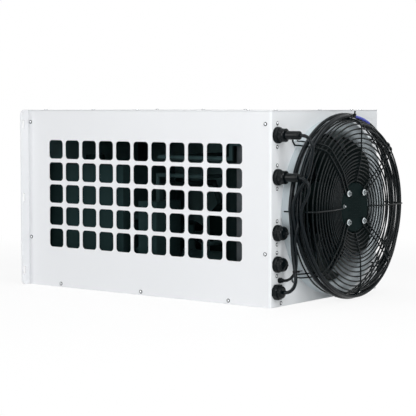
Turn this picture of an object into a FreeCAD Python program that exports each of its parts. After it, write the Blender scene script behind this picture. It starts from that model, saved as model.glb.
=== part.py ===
import FreeCAD, Part
import math
import os

# Air-cooled water chiller in a sheet-metal case, with an axial fan and a wire guard on one end.
# Millimetres. X runs along the case from the mounting plate to the fan, Y from the perforated
# side to the plain side, Z up. The origin is under the middle of the whole unit, on the floor.

V = FreeCAD.Vector

# Case
case_length = 750.0
case_width = 452.0
case_height = 440.0
sheet = 1.5
top_gap = 1.0
lip = 18.0
corner_return = 7.0
corner_bend = 3.0

# Mounting plate with its two flanges
plate_thickness = 3.0
flange = 26.0
flange_corner = 13.0
slot_width = 7.0
slot_length = 22.0
slot_inset = 9.0
slot_height = 36.0

# Openings in the near side
opening = 46.0
opening_corner = 9.0
opening_web = 9.0
opening_from_fan = 102.5
opening_from_top = 98.0
opening_border = 80.0

# Case screws
screw_head = 9.0
screw_height = 2.4
screw_corner_inset = 16.0
screw_plate_inset = 8.0
screw_foot_height = 8.0
screw_side_low = 120.0
screw_side_from_top = 30.5
screw_foot_first = 112.0
screw_foot_last = 118.0
screw_top_sides = (57.0, 216.0, 355.0)
screw_top_last = 69.0
screw_top_near_end = 28.0
screw_top_far_end = 68.0
screw_top_inset = 8.0
screw_face_inset = 39.5

# Frame posts
post = 25.0
post_face_leg = 8.0
post_wall = 2.0

# Fan, its ring and its guard. The fan fills the end face but for a strip for the connectors.
connector_strip = 41.0
fan_margin = 2.0
fan_foot_room = 10.5
fan_head_room = 20.5
shroud_flat = 14.5
shroud_reach = 22.0
shroud_depth = 46.0
shroud_wall = 2.0
shroud_mouth = 14.0
shroud_sides = 48
blade_clearance = 3.5
blade_count = 5
blade_start = 18.0
blade_chord = 92.0
blade_pitch_height = 40.0
blade_thickness = 2.4
hub_radius = 66.0
hub_wall = 3.0
hub_front = 54.0
hub_back = -16.0
hub_ring = 3.0
hub_band = (-24.0, 30.0)
motor_face = 66.0
motor_disc = 7.0
motor_disc_radius = 58.0
motor_bolt_radius = 47.0
stator_radius = 46.0
stator_ends = (8.0, 46.0)
bearing_tube = 16.0
bearing_radius = 11.0
bearing_width = 7.0
bearing_lip = 2.5
bearing_back = 0.0
shaft_radius = 4.0
running_fit = 0.03

guard_reach = 82.0
guard_wire = 1.75
ring_wire = 1.3
ring_play = 0.35
guard_crown = 1.5
guard_flat = 44.0
guard_rise = 28.0
guard_shoulder_in = 18.0
guard_bend = 11.5
guard_side_in = 2.5
guard_side_from = 69.0
guard_taper = 0.196
guard_eye_reach = 9.9
guard_back = 12.5
hairpin_half = 6.5
ring_inner = 62.0
ring_close_pitch = 8.2
ring_wide_from = 120.0
ring_wide_pitch = 10.9
side_rings = 5
ring_sides = 24
guard_screw_head = 13.0

# Connectors and glands in the fan face
connector_inset = 23.0
connectors_from_top = (55.0, 148.5)
connectors_from_floor = (167.0, 96.5)
connector_screw = 26.0
socket_radius = 18.5
socket_neck = 8.0
socket_depth = 16.0
socket_hole_play = 1.0
socket_ring = 9.0
plug_radius = 15.0
plug_grip = 16.0
barrel_radius = 9.8
barrel_ends = (62.0, 58.0)
cap_height = 21.5
cap_knob = 4.3
plug_play = 0.3
small_gland_inset = 32.0
small_gland_height = 60.0
large_gland_inset = 20.0
large_gland_height = 35.0
earth_screw = (35.0, -3.0)
small_gland_across = 12.0
large_gland_across = 34.0
gland_shank = 0.28
small_gland_reach = 12.0
large_gland_reach = 20.0

# Cables wound round the guard, in turns of 360 degrees beside each other
lead_diameter = 8.0
signal_diameter = 6.5
cable_room = 0.3
floor_room = 0.5
turn_steps = 36
turns_rear = (24.0, 27.0, 27.0, 47.0)
lead_turns_rear = (5.0, 3.0, 0.0, 7.2)
lead_turns_front = (13.2, 11.2, 16.6, 15.3)
signal_turns_rear = (13.4, 11.5, 17.2, 15.5)
signal_turns_front = (39.0, 25.0, 36.8, 28.4)

# Cooling circuit. The machine parts stand in a row from the tank towards the fan.
coil_gap = 22.0
coil_thickness = 44.0
coil_side_room = 30.0
coil_foot = 24.0
coil_head_room = 22.5
coil_end_reach = 6.0
coil_plate = 1.6
coil_plate_border = 4.0
fin_pitch = 9.0
fin_thickness = 0.6
fin_border = 6.0
tube_radius = 5.0
tube_play = 0.3
tube_pitch = 32.0
partition_from_fan = 150.0
tank_inset = 30.0
tank_side_inset = 40.0
machine_room = 315.5
tank_width = 200.0
tank_height = 300.0
tank_wall = 2.0
lid_thickness = 4.0
neck_inset = 70.0
neck_radius = 24.0
neck_height = 22.0
exchanger = (56.0, 92.0, 210.0)
exchanger_from_tank = 57.0
exchanger_side_room = 30.0
exchanger_foot = 10.0
exchanger_foot_inset = 20.0
pump_radius = 42.0
pump_length = 120.0
pump_lift = 12.0
pump_head_length = 42.0
pump_head_lip = 2.0
pump_room = 4.0
pump_from_exchanger = 45.0
pump_outlet = 64.0
pump_outlet_behind = 20.0
pump_foot = 30.0
pump_foot_inset = 15.0
compressor_radius = 68.0
compressor_height = 190.0
compressor_side = 95.0
compressor_from_tank = 135.0
compressor_foot_rim = (16.0, 8.0)
foot_height = 14.0
foot_thickness = 4.0
grommet_radius = 11.0
pipe_radius = 5.0
suction_radius = 7.0
suction_rise = 34.0
discharge_drop = 34.5
discharge_before = 12.0
pipe_from_side = 18.0
liquid_height = 130.0
drier_length = 100.0
drier_radius = 19.0
drier_cone = 8.0
drier_rise = 30.0
drier_beside = (105.0, -20.0)
pipe_bend_room = 25.0
hose_radius = 9.0
hose_room = 25.0
hose_rise = 30.0
push_bends = (20.0, 120.0)
back_bend = 90.0
back_rise = 40.0
fill_height = 180.0
control_box = (180.0, 110.0, 130.0)
control_wall = 2.0
board_thickness = 1.6
board_inset = 10.0
port_radius = 10.5
port_bore = 7.5
port_hex = 18.0
port_hex_depth = 12.0
port_tail = 26.0
port_play = 0.2
port_reach = 38.0
port_from_side = 76.0
port_heights = (60.0, 130.0)
port_nut = 8.0

overall_length = port_reach + case_length + guard_reach + guard_wire
x_plate = -overall_length / 2 + port_reach
x_face = x_plate + case_length
y_side = case_width / 2
x_inner = x_plate + plate_thickness
z_top = case_height - sheet
z_side = z_top - top_gap
opening_pitch = opening + opening_web
fan_across = min(case_width - connector_strip - fan_margin, case_height - fan_foot_room - fan_head_room)
shroud_radius = fan_across / 2
shroud_throat = shroud_radius - shroud_flat - shroud_mouth
fan_offset = (connector_strip - fan_margin) / 2
fan_height = (case_height - fan_head_room + fan_foot_room) / 2
guard_side_radius = shroud_radius - guard_side_in
guard_shoulder = guard_side_radius - guard_shoulder_in
connector_y = connector_inset - y_side
connector_heights = [case_height - drop for drop in connectors_from_top] + list(connectors_from_floor)
small_gland = (small_gland_inset - y_side, small_gland_height)
large_gland = (large_gland_inset - y_side, large_gland_height)
coil_half_width = y_side - coil_side_room
coil_height = z_top - coil_foot - coil_head_room
tank_start = x_inner + tank_inset
tank_end = x_face - partition_from_fan - sheet - machine_room
tank_side = tank_side_inset - y_side
exchanger_x = tank_end + exchanger_from_tank + exchanger[0] / 2
exchanger_y = exchanger_side_room + exchanger[1] / 2 - y_side
pump_x = exchanger_x + pump_from_exchanger
pump_y = exchanger_y + exchanger[1] / 2 + pump_room + pump_radius
pump_axis = sheet + pump_lift + pump_radius
compressor_x = tank_end + compressor_from_tank
compressor_top = sheet + foot_height + foot_thickness + compressor_height
pipe_side = y_side - pipe_from_side
drier_x = compressor_x + drier_beside[0]
drier_y = compressor_side + drier_beside[1]
drier_low = liquid_height + drier_rise
port_places = [(y_side - port_from_side, height) for height in port_heights]


def box(x0, x1, y0, y1, z0, z1):
    return Part.makeBox(x1 - x0, y1 - y0, z1 - z0, V(x0, y0, z0))


def rod(start, axis, radius, length):
    return Part.makeCylinder(radius, length, V(*start), V(*axis))


def rod_x(x0, x1, y, z, radius):
    return rod((x0, y, z), (1, 0, 0), radius, x1 - x0)


def turned(profile, start, axis):
    """Turn a profile of (along, radius) points about an axis through start."""
    direction = V(*axis)
    side = V(0, 0, 1) if abs(direction.z) < 0.5 else V(1, 0, 0)
    points = [V(*start) + direction * along + side * radius for along, radius in profile]
    face = Part.Face(Part.makePolygon(points + points[:1]))
    return face.revolve(V(*start), direction, 360)


def prism(points, direction):
    """Extrude a closed outline of points along a direction."""
    return Part.Face(Part.makePolygon(points + points[:1])).extrude(direction)


def pierced(outlines):
    """A flat face with the first outline's shape and the other outlines as holes."""
    return Part.makeFace(outlines, "Part::FaceMakerBullseye")


def rounded_outline(half_y, half_z, radius, steps):
    """Points of a rounded rectangle about the origin of the YZ plane."""
    points = []
    for quarter in range(4):
        middle = math.pi / 2 * quarter
        cy = (half_y - radius) * (1 if quarter in (0, 3) else -1)
        cz = (half_z - radius) * (1 if quarter in (0, 1) else -1)
        for step in range(steps + 1):
            angle = middle + math.pi / 2 * step / steps
            points.append((cy + radius * math.cos(angle), cz + radius * math.sin(angle)))
    return points


def solid_of(faces):
    shape = Part.makeSolid(Part.makeShell(faces))
    if shape.Volume < 0:
        shape.reverse()
    return shape


def wire_bar(path, radius, sides, closed=False):
    """A bar of flat sides along a path, mitred at each bend."""
    count = len(path)
    runs = [(path[(i + 1) % count] - path[i]).normalize() for i in range(count)]
    first = runs[-1] if closed else runs[0]
    seed = V(1, 0, 0) if abs(first.x) < 0.9 else V(0, 0, 1)
    normal = seed.cross(first).normalize()
    loops = []
    for i in range(count):
        ends = not closed and i in (0, count - 1)
        back = runs[i - 1] if closed or i else runs[0]
        ahead = back if ends else runs[i]
        plane = (back + ahead).normalize()
        across = back.cross(normal)
        loop = []
        for k in range(sides):
            angle = 2 * math.pi * (k + 0.5) / sides
            out = normal * (radius * math.cos(angle)) + across * (radius * math.sin(angle))
            loop.append(path[i] + out - back * (out.dot(plane) / back.dot(plane)))
        loops.append(loop)
        if not ends:
            normal = FreeCAD.Rotation(back, ahead).multVec(normal)
    faces = []
    for i in range(count if closed else count - 1):
        j = (i + 1) % count
        shift = 0
        if closed and j == 0:
            twists = []
            for s in range(sides):
                twists.append(sum((loops[i][k] - loops[0][(k + s) % sides]).Length for k in range(sides)))
            shift = twists.index(min(twists))
        for k in range(sides):
            a, b = loops[i][k], loops[i][(k + 1) % sides]
            c, d = loops[j][(k + 1 + shift) % sides], loops[j][(k + shift) % sides]
            faces.append(Part.Face(Part.makePolygon([a, b, c, a])))
            faces.append(Part.Face(Part.makePolygon([a, c, d, a])))
    if not closed:
        for loop in (loops[0], loops[-1]):
            faces.append(Part.Face(Part.makePolygon(loop + loop[:1])))
    return solid_of(faces)


def flat_ring(along, radius, wire, sides):
    """A wire ring about the fan axis, of straight chords and a square section."""
    def outline(r):
        points = []
        for k in range(sides):
            angle = 2 * math.pi * k / sides
            points.append(fan_point(along - wire, r, angle))
        return Part.makePolygon(points + points[:1])
    return pierced([outline(radius + wire), outline(radius - wire)]).extrude(V(2 * wire, 0, 0))


def fan_point(along, radius, angle):
    """A point ahead of the fan face, by radius and angle about the fan axis."""
    return V(x_face + along, fan_offset + radius * math.cos(angle), fan_height + radius * math.sin(angle))


def group(shapes):
    return Part.makeCompound(shapes)


def guard_side(along):
    """Radius of the guard's side wires at a distance ahead of the fan face."""
    return guard_side_radius + guard_taper * (guard_side_from - along)


def guard_foot():
    """Radius of the guard's eyes on the fan panel."""
    return guard_side(guard_back) + guard_eye_reach


def guard_profile():
    """Reach and radius of a guard wire, from the motor disc out over the shoulder."""
    return [
        (motor_face + guard_wire, motor_bolt_radius),
        (motor_face + guard_wire, motor_disc_radius - 1),
        (guard_reach - guard_crown, guard_shoulder - guard_flat - guard_rise),
        (guard_reach, guard_shoulder - guard_flat),
        (guard_reach, guard_shoulder),
        (guard_reach - 4, guard_shoulder + guard_bend),
        (guard_side_from, guard_side_radius),
    ]


def guard_front(radius):
    """How far ahead of the fan face the guard's front wires are at a radius."""
    line = guard_profile()
    for (x0, r0), (x1, r1) in zip(line, line[1:]):
        if r0 <= radius <= r1:
            return x0 + (x1 - x0) * (radius - r0) / (r1 - r0)
    return line[0][0]


def around(angle, sides):
    """A smooth value round the fan that passes its right, top, left and bottom values."""
    right, top, left, bottom = sides
    middle = (right + top + left + bottom) / 4
    twice = (right + left - top - bottom) / 4
    value = middle + twice * math.cos(2 * angle)
    return value + (right - left) / 2 * math.cos(angle) + (top - bottom) / 2 * math.sin(angle)


def base_tray():
    x1 = x_face - sheet
    y1 = y_side - sheet
    tray = box(x_inner, x1, -y1, y1, 0, lip)
    return tray.cut(box(x_inner + sheet, x1 - sheet, -y1 + sheet, y1 - sheet, sheet, lip + 1))


def flange_slot(y, z):
    half = slot_length / 2 - slot_width / 2
    body = box(x_plate - 1, x_inner + 1, y - slot_width / 2, y + slot_width / 2, z - half, z + half)
    for end in (-half, half):
        body = body.fuse(rod_x(x_plate - 1, x_inner + 1, y, z + end, slot_width / 2))
    return body


def mounting_plate():
    half = y_side + flange
    body = box(x_plate, x_inner, -half, half, 0, case_height)
    edges = [e for e in body.Edges if abs(e.BoundBox.XLength - plate_thickness) < 1e-6]
    body = body.makeFillet(flange_corner, edges)
    slots = []
    for side in (-1, 1):
        for z in (slot_height, case_height / 2, case_height - slot_height):
            slots.append(flange_slot(side * (half - slot_inset), z))
    for y, z in port_places:
        slots.append(rod_x(x_plate - 1, x_inner + 1, y, z, port_radius))
    return body.cut(slots)


def top_cover():
    skin = box(x_inner, x_face, -y_side, y_side, z_top, case_height)
    x1 = x_face - sheet
    y1 = y_side - sheet
    rim = box(x_inner, x1, -y1, y1, z_top - lip, z_top)
    rim = rim.cut(box(x_inner + sheet, x1 - sheet, -y1 + sheet, y1 - sheet, z_top - lip - 1, z_top))
    return skin.fuse(rim).removeSplitter()


def perforated_panel():
    """Near side, with rows of rounded square openings."""
    x1 = x_face - corner_return
    points = [V(x_inner, -y_side, 0), V(x1, -y_side, 0), V(x1, -y_side, z_side), V(x_inner, -y_side, z_side)]
    loops = [Part.makePolygon(points + points[:1])]
    columns = int((case_length - opening_from_fan - opening_border) / opening_pitch) + 1
    rows = int((case_height - opening_from_top - opening_border) / opening_pitch) + 1
    for column in range(columns):
        for row in range(rows):
            cx = x_face - opening_from_fan - column * opening_pitch
            cz = case_height - opening_from_top - row * opening_pitch
            outline = rounded_outline(opening / 2, opening / 2, opening_corner, 2)
            hole = [V(cx + u, -y_side, cz + w) for u, w in outline]
            loops.append(Part.makePolygon(hole + hole[:1]))
    return pierced(loops).extrude(V(0, sheet, 0))


def far_panel():
    return box(x_inner, x_face - corner_return, y_side - sheet, y_side, 0, z_side)


def fan_panel():
    """End face, bent round both case corners, with the fan's opening."""
    x0 = x_face - corner_return
    skin = box(x0, x_face, -y_side, y_side, 0, z_side)
    edges = [e for e in skin.Edges if e.BoundBox.ZLength > z_side - 1 and e.BoundBox.XMax > x_face - 1e-6]
    skin = skin.makeFillet(corner_bend, edges)
    hollow = box(x0 - 1, x_face - sheet, -y_side + sheet, y_side - sheet, -1, z_side + 1)
    cuts = [hollow, rod_x(x_face - 9, x_face + 1, fan_offset, fan_height, shroud_throat + shroud_wall)]
    for z in connector_heights:
        cuts.append(rod_x(x_face - 9, x_face + 1, connector_y, z, socket_radius - socket_neck + socket_hole_play))
    for (y, z), across in ((small_gland, small_gland_across), (large_gland, large_gland_across)):
        cuts.append(rod_x(x_face - 9, x_face + 1, y, z, across * gland_shank))
    return skin.cut(cuts)


def corner_posts():
    """Four angle posts inside the case corners."""
    posts = []
    foot = lip
    head = z_top - lip
    for x, end in ((x_inner, 1), (x_face - sheet, -1)):
        for side in (-1, 1):
            leg = post_face_leg if end < 0 else post
            outer = side * (y_side - sheet)
            inner = side * (y_side - sheet - leg)
            wall = side * (y_side - sheet - post_wall)
            xs = sorted((x, x + end * post))
            faces = sorted((x, x + end * post_wall))
            long_leg = box(xs[0], xs[1], min(outer, wall), max(outer, wall), foot, head)
            end_leg = box(faces[0], faces[1], min(outer, inner), max(outer, inner), foot, head)
            posts.append(long_leg.fuse(end_leg).removeSplitter())
    return group(posts)


def screw_head_at(point, axis, size=screw_head, height=screw_height):
    """A low round head of ten flats, its seat at the point."""
    direction = V(*axis)
    side = V(0, 0, 1) if abs(direction.z) < 0.5 else V(1, 0, 0)
    across = direction.cross(side)
    points = []
    for k in range(10):
        angle = 2 * math.pi * k / 10
        points.append(V(*point) + side * (size / 2 * math.cos(angle)) + across * (size / 2 * math.sin(angle)))
    return prism(points, direction * height)


def side_screws():
    heads = []
    x_first = x_inner + screw_plate_inset
    x_last = x_face - screw_corner_inset
    for side in (-1, 1):
        for z in (screw_side_low, case_height - screw_side_from_top):
            heads.append(screw_head_at((x_first, side * y_side, z), (0, side, 0)))
            heads.append(screw_head_at((x_last, side * y_side, z), (0, side, 0)))
        for share in (0, 0.5, 1):
            x = x_plate + screw_foot_first + share * (case_length - screw_foot_first - screw_foot_last)
            heads.append(screw_head_at((x, side * y_side, screw_foot_height), (0, side, 0)))
    return group(heads)


def top_screws():
    heads = []
    for side in (-1, 1):
        for x in (*screw_top_sides, case_length - screw_top_last):
            y = side * (y_side - screw_top_inset)
            heads.append(screw_head_at((x_plate + x, y, case_height), (0, 0, 1)))
    for share in (0, 0.5, 1):
        y = screw_top_near_end - y_side + share * (case_width - screw_top_near_end - screw_top_far_end)
        heads.append(screw_head_at((x_face - screw_top_inset, y, case_height), (0, 0, 1)))
    return group(heads)


def face_screws():
    """Screws of the connectors and of the fan panel."""
    heads = []
    for z in connector_heights:
        for end in (-connector_screw, connector_screw):
            heads.append(screw_head_at((x_face, connector_y, z + end), (1, 0, 0)))
    for side in (-1, 1):
        heads.append(screw_head_at((x_face, side * (y_side - screw_face_inset), screw_foot_height), (1, 0, 0)))
    y, z = small_gland
    heads.append(screw_head_at((x_face, y + earth_screw[0], z + earth_screw[1]), (1, 0, 0), 6.5, 1.8))
    return group(heads)


def fan_shroud():
    """Wall ring with a rounded mouth and a throat round the blades."""
    r = shroud_throat
    m = shroud_mouth
    w = shroud_wall
    mouth = []
    back = []
    for step in range(5):
        angle = math.pi / 2 * step / 4
        mouth.append((shroud_reach - m + m * math.sin(angle), r + m - m * math.cos(angle)))
        back.append((shroud_reach - m + (m - w) * math.sin(angle), r + m - (m - w) * math.cos(angle)))
    profile = [(-shroud_depth, r), *mouth, (shroud_reach, shroud_radius), (0, shroud_radius),
               (0, shroud_radius - w), (shroud_reach - w, shroud_radius - w), *reversed(back),
               (-shroud_depth, r + w)]
    sides = shroud_sides
    faces = []
    rows = []
    for k in range(sides):
        angle = 2 * math.pi * k / sides
        rows.append([fan_point(along, radius, angle) for along, radius in profile])
    for k in range(sides):
        near, far = rows[k], rows[(k + 1) % sides]
        for i in range(len(profile)):
            j = (i + 1) % len(profile)
            faces.append(Part.Face(Part.makePolygon([near[i], near[j], far[j], far[i], near[i]])))
    return solid_of(faces)


def guard_rings():
    """Front and side rings, each against the inner face of the radial wires."""
    rings = []
    seat = guard_wire + ring_wire + ring_play
    radii = [ring_inner]
    while radii[-1] < guard_shoulder:
        pitch = ring_close_pitch if radii[-1] < ring_wide_from else ring_wide_pitch
        radii.append(radii[-1] + pitch)
    for radius in radii:
        rings.append(flat_ring(guard_front(radius) - seat, radius, ring_wire, ring_sides))
    first = guard_side_from - 4
    last = guard_back + ring_wire
    for k in range(side_rings):
        along = first + (last - first) * k / (side_rings - 1)
        rings.append(flat_ring(along, guard_side(along) - seat - ring_play, ring_wire, ring_sides))
    return group(rings)


def hairpin(angle):
    """One long wire loop from a motor bolt out to an eye on the fan panel and back."""
    out = V(0, math.cos(angle), math.sin(angle))
    turn = V(0, -math.sin(angle), math.cos(angle))
    leg = [*guard_profile(), (guard_back, guard_side(guard_back)), (guard_wire * 2, guard_foot() - 10.5),
           (guard_wire, guard_foot() - 8)]
    path = [fan_point(along, radius, angle) + turn * hairpin_half for along, radius in leg]
    eye = fan_point(guard_wire, guard_foot(), angle)
    for step in (1, 2, 3):
        a = math.pi / 4 * step
        path.append(eye + turn * (hairpin_half * math.cos(a)) + out * (hairpin_half * math.sin(a)))
    path += [fan_point(along, radius, angle) - turn * hairpin_half for along, radius in reversed(leg)]
    hook = fan_point(*guard_profile()[0], angle)
    for step in (1, 2, 3):
        a = math.pi / 4 * step
        path.append(hook - turn * (hairpin_half * math.cos(a)) - out * (hairpin_half * math.sin(a)))
    return wire_bar(path, guard_wire, 6, closed=True)


def single_wire(angle):
    """One straight guard wire from beside the motor disc out over the shoulder to the last ring."""
    start = motor_disc_radius + 2.5
    line = [(guard_front(start), start)] + [p for p in guard_profile() if p[1] > start]
    line.append((guard_back, guard_side(guard_back)))
    return wire_bar([fan_point(along, radius, angle) for along, radius in line], guard_wire, 6)


def guard_wires():
    wires = [hairpin(math.pi / 4 + math.pi / 2 * k) for k in range(4)]
    wires += [single_wire(math.pi / 2 * k) for k in range(4)]
    return group(wires)


def guard_screws():
    """Washer-head screws that hold the guard's eyes on the fan panel."""
    heads = []
    for k in range(4):
        angle = math.pi / 4 + math.pi / 2 * k
        seat = fan_point(2 * guard_wire, guard_foot(), angle)
        head = screw_head_at((seat.x, seat.y, seat.z), (1, 0, 0), guard_screw_head, 3.5)
        root = fan_point(0, guard_foot(), angle)
        shank = screw_head_at((root.x, root.y, root.z), (1, 0, 0), 2 * (hairpin_half - guard_wire) - 1.5,
                              2 * guard_wire)
        heads.append(head.fuse(shank))
    return group(heads)


def motor_bolts():
    """Washer and head over each hairpin's hook, with its shank down to the motor disc."""
    heads = []
    for k in range(4):
        angle = math.pi / 4 + math.pi / 2 * k
        root = fan_point(motor_face, motor_bolt_radius, angle)
        seat = fan_point(motor_face + 2 * guard_wire, motor_bolt_radius, angle)
        shank = screw_head_at((root.x, root.y, root.z), (1, 0, 0), 2 * (hairpin_half - guard_wire) - 1.5,
                              2 * guard_wire)
        washer = screw_head_at((seat.x, seat.y, seat.z), (1, 0, 0), 16.0, 1.2)
        head = screw_head_at((seat.x + 1.2, seat.y, seat.z), (1, 0, 0), 10.0, 4.0)
        heads.append(shank.fuse([washer, head]))
    seat = fan_point(motor_face, motor_bolt_radius + 3, math.radians(175))
    heads.append(screw_head_at((seat.x, seat.y, seat.z), (1, 0, 0), 9.0, 6.0))
    return group(heads)


def motor_flange():
    """Fixed end disc of the motor with the bearing tube that the stator sits on."""
    back = motor_face - motor_disc
    seat = bearing_radius
    stop = seat - bearing_lip
    end = bearing_back
    profile = [(motor_face, 0), (motor_face, motor_disc_radius - 3), (motor_face - 3, motor_disc_radius),
               (back, motor_disc_radius), (back, bearing_tube), (end, bearing_tube), (end, seat),
               (end + bearing_width, seat), (end + bearing_width, stop),
               (back - bearing_width, stop), (back - bearing_width, seat), (back, seat), (back, 0)]
    return turned(profile, (x_face, fan_offset, fan_height), (1, 0, 0))


def stator_pack():
    first, last = stator_ends
    profile = [(first, bearing_tube), (first, stator_radius), (last, stator_radius), (last, bearing_tube)]
    return turned(profile, (x_face, fan_offset, fan_height), (1, 0, 0))


def motor_bearings():
    rings = []
    bore = shaft_radius + running_fit
    for start in (bearing_back, motor_face - motor_disc - bearing_width):
        profile = [(start, bore), (start, bearing_radius), (start + bearing_width, bearing_radius),
                   (start + bearing_width, bore)]
        rings.append(turned(profile, (x_face, fan_offset, fan_height), (1, 0, 0)))
    return group(rings)


def motor_shaft():
    end = motor_face - motor_disc - 0.5
    return rod_x(x_face + hub_back + hub_wall, x_face + end, fan_offset, fan_height, shaft_radius)


def rotor_bell():
    """Turning motor can that the blades sit on."""
    r = hub_radius
    w = hub_wall
    profile = [(hub_back, 0), (hub_back, r - 8), (hub_back + 8, r), (hub_front, r), (hub_front, r - w),
               (hub_back + 9, r - w), (hub_back + w, r - 12), (hub_back + w, 0)]
    return turned(profile, (x_face, fan_offset, fan_height), (1, 0, 0))


def fan_blade(start_angle):
    """A swept, twisted blade from the hub band to just inside the throat."""
    stations = 6
    across = 3
    root = hub_radius + hub_ring - 0.4
    tip = shroud_throat - blade_clearance
    top = []
    for i in range(stations):
        share = i / (stations - 1)
        radius = root + (tip - root) * share
        chord = blade_chord * (0.72 + 0.42 * share)
        height = blade_pitch_height * (1.0 - 0.42 * share)
        sweep = start_angle + 0.62 * share * share
        row = []
        for k in range(across + 1):
            part = k / across
            angle = sweep + (part - 0.5) * chord / radius
            bow = 3.2 * math.sin(math.pi * part)
            row.append((radius, angle, 4.0 + height * (0.5 - part) + bow))
        top.append(row)
    upper = [[fan_point(x + blade_thickness / 2, r, a) for r, a, x in row] for row in top]
    lower = [[fan_point(x - blade_thickness / 2, r, a) for r, a, x in row] for row in top]
    faces = []

    def quad(a, b, c, d):
        faces.append(Part.Face(Part.makePolygon([a, b, c, a])))
        faces.append(Part.Face(Part.makePolygon([a, c, d, a])))

    last = stations - 1
    for i in range(last):
        for k in range(across):
            quad(upper[i][k], upper[i + 1][k], upper[i + 1][k + 1], upper[i][k + 1])
            quad(lower[i][k], lower[i][k + 1], lower[i + 1][k + 1], lower[i + 1][k])
        quad(upper[i][0], lower[i][0], lower[i + 1][0], upper[i + 1][0])
        quad(upper[i][across], upper[i + 1][across], lower[i + 1][across], lower[i][across])
    for k in range(across):
        quad(upper[0][k], upper[0][k + 1], lower[0][k + 1], lower[0][k])
        quad(upper[last][k], lower[last][k], lower[last][k + 1], upper[last][k + 1])
    return solid_of(faces)


def fan_blades():
    """Band pressed on the motor can with its blades."""
    back, front = hub_band
    outer = hub_radius + hub_ring
    profile = [(back, hub_radius), (back, outer), (front, outer), (front, hub_radius)]
    band = turned(profile, (x_face, fan_offset, fan_height), (1, 0, 0))
    first = math.radians(blade_start)
    blades = [fan_blade(first + 2 * math.pi * k / blade_count) for k in range(blade_count)]
    return band.fuse(blades)


def sockets():
    """Round panel sockets with their flange rings."""
    shapes = []
    for z in connector_heights:
        neck = socket_radius - socket_neck
        profile = [(-socket_depth, 0), (-socket_depth, neck), (0, neck), (0, socket_radius),
                   (socket_ring - 3, socket_radius), (socket_ring, socket_radius - 3), (socket_ring, 0)]
        shapes.append(turned(profile, (x_face, connector_y, z), (1, 0, 0)))
    return group(shapes)


def plug_body(height, reach):
    """Straight plug: a cable barrel behind the turning ring."""
    start = socket_ring + plug_grip + plug_play
    profile = [(start, 0), (start, barrel_radius + 2.5), (start + 5, barrel_radius + 2.5),
               (start + 7, barrel_radius), (reach - 3, barrel_radius), (reach, barrel_radius - 2), (reach, 0)]
    core = [(socket_ring + plug_play, 0), (socket_ring + plug_play, plug_radius - 4.5),
            (start, plug_radius - 4.5), (start, 0)]
    body = turned(profile, (x_face, connector_y, height), (1, 0, 0))
    return body.fuse(turned(core, (x_face, connector_y, height), (1, 0, 0))).removeSplitter()


def plug_ring(height):
    """Knurled locking ring that turns on the plug."""
    start = socket_ring + plug_play
    end = start + plug_grip - plug_play
    inner = plug_radius - 4.5 + plug_play
    profile = [(start, inner), (start, plug_radius), (end - 2.5, plug_radius), (end, plug_radius - 2), (end, inner)]
    return turned(profile, (x_face, connector_y, height), (1, 0, 0))


def dust_cap(height):
    """Domed screw cap with a pull knob, over an unused socket."""
    start = socket_ring + plug_play
    r = socket_radius - 2.5
    end = start + cap_height
    profile = [(start, 0), (start, r), (start + 9, r), (start + 13, r - 3), (end - 8, r - 9),
               (end - 7, cap_knob), (end, cap_knob), (end, 0)]
    return turned(profile, (x_face, connector_y, height), (1, 0, 0))


def gland(place, across, reach, bore):
    """Cable gland: a hexagon nut with a clamping dome."""
    y, z = place
    points = []
    for k in range(8):
        angle = math.pi / 8 + math.pi / 4 * k
        radius = across / 2 / math.cos(math.pi / 8)
        points.append(V(x_face, y + radius * math.cos(angle), z + radius * math.sin(angle)))
    nut = prism(points, V(reach * 0.6, 0, 0))
    start = reach * 0.6
    r = across * 0.42
    dome = turned([(start, 0), (start, r), (reach - 2, r), (reach, r * 0.7), (reach, 0)], (x_face, y, z), (1, 0, 0))
    shank = rod_x(x_face - 12, x_face, y, z, across * gland_shank)
    body = nut.fuse([dome, shank])
    return body.cut(rod_x(x_face + reach - 4, x_face + reach + 1, y, z, bore))


def cable_turns(rear, front, diameter):
    """Outer shape of the turns of one cable round the guard."""
    loops = []
    for k in range(turn_steps):
        angle = 2 * math.pi * k / turn_steps
        start = around(angle, turns_rear)
        loop = []
        for edge in (rear, front):
            along = start + around(angle, edge)
            inner = (guard_side(along) + guard_wire + cable_room) / math.cos(math.pi / turn_steps)
            outer = inner + diameter + cable_room
            down = -math.sin(angle)
            if down > 0.05:
                outer = min(outer, (fan_height - floor_room) / down)
            loop.append((along, inner, outer))
        (x0, in0, out0), (x1, in1, out1) = loop
        loops.append([fan_point(x0, in0, angle), fan_point(x1, in1, angle),
                      fan_point(x1, out1, angle), fan_point(x0, out0, angle)])
    faces = []
    for k in range(turn_steps):
        near, far = loops[k], loops[(k + 1) % turn_steps]
        for i in range(4):
            j = (i + 1) % 4
            faces.append(Part.Face(Part.makePolygon([near[i], near[j], far[j], near[i]])))
            faces.append(Part.Face(Part.makePolygon([near[i], far[j], far[i], near[i]])))
    return solid_of(faces)


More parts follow.
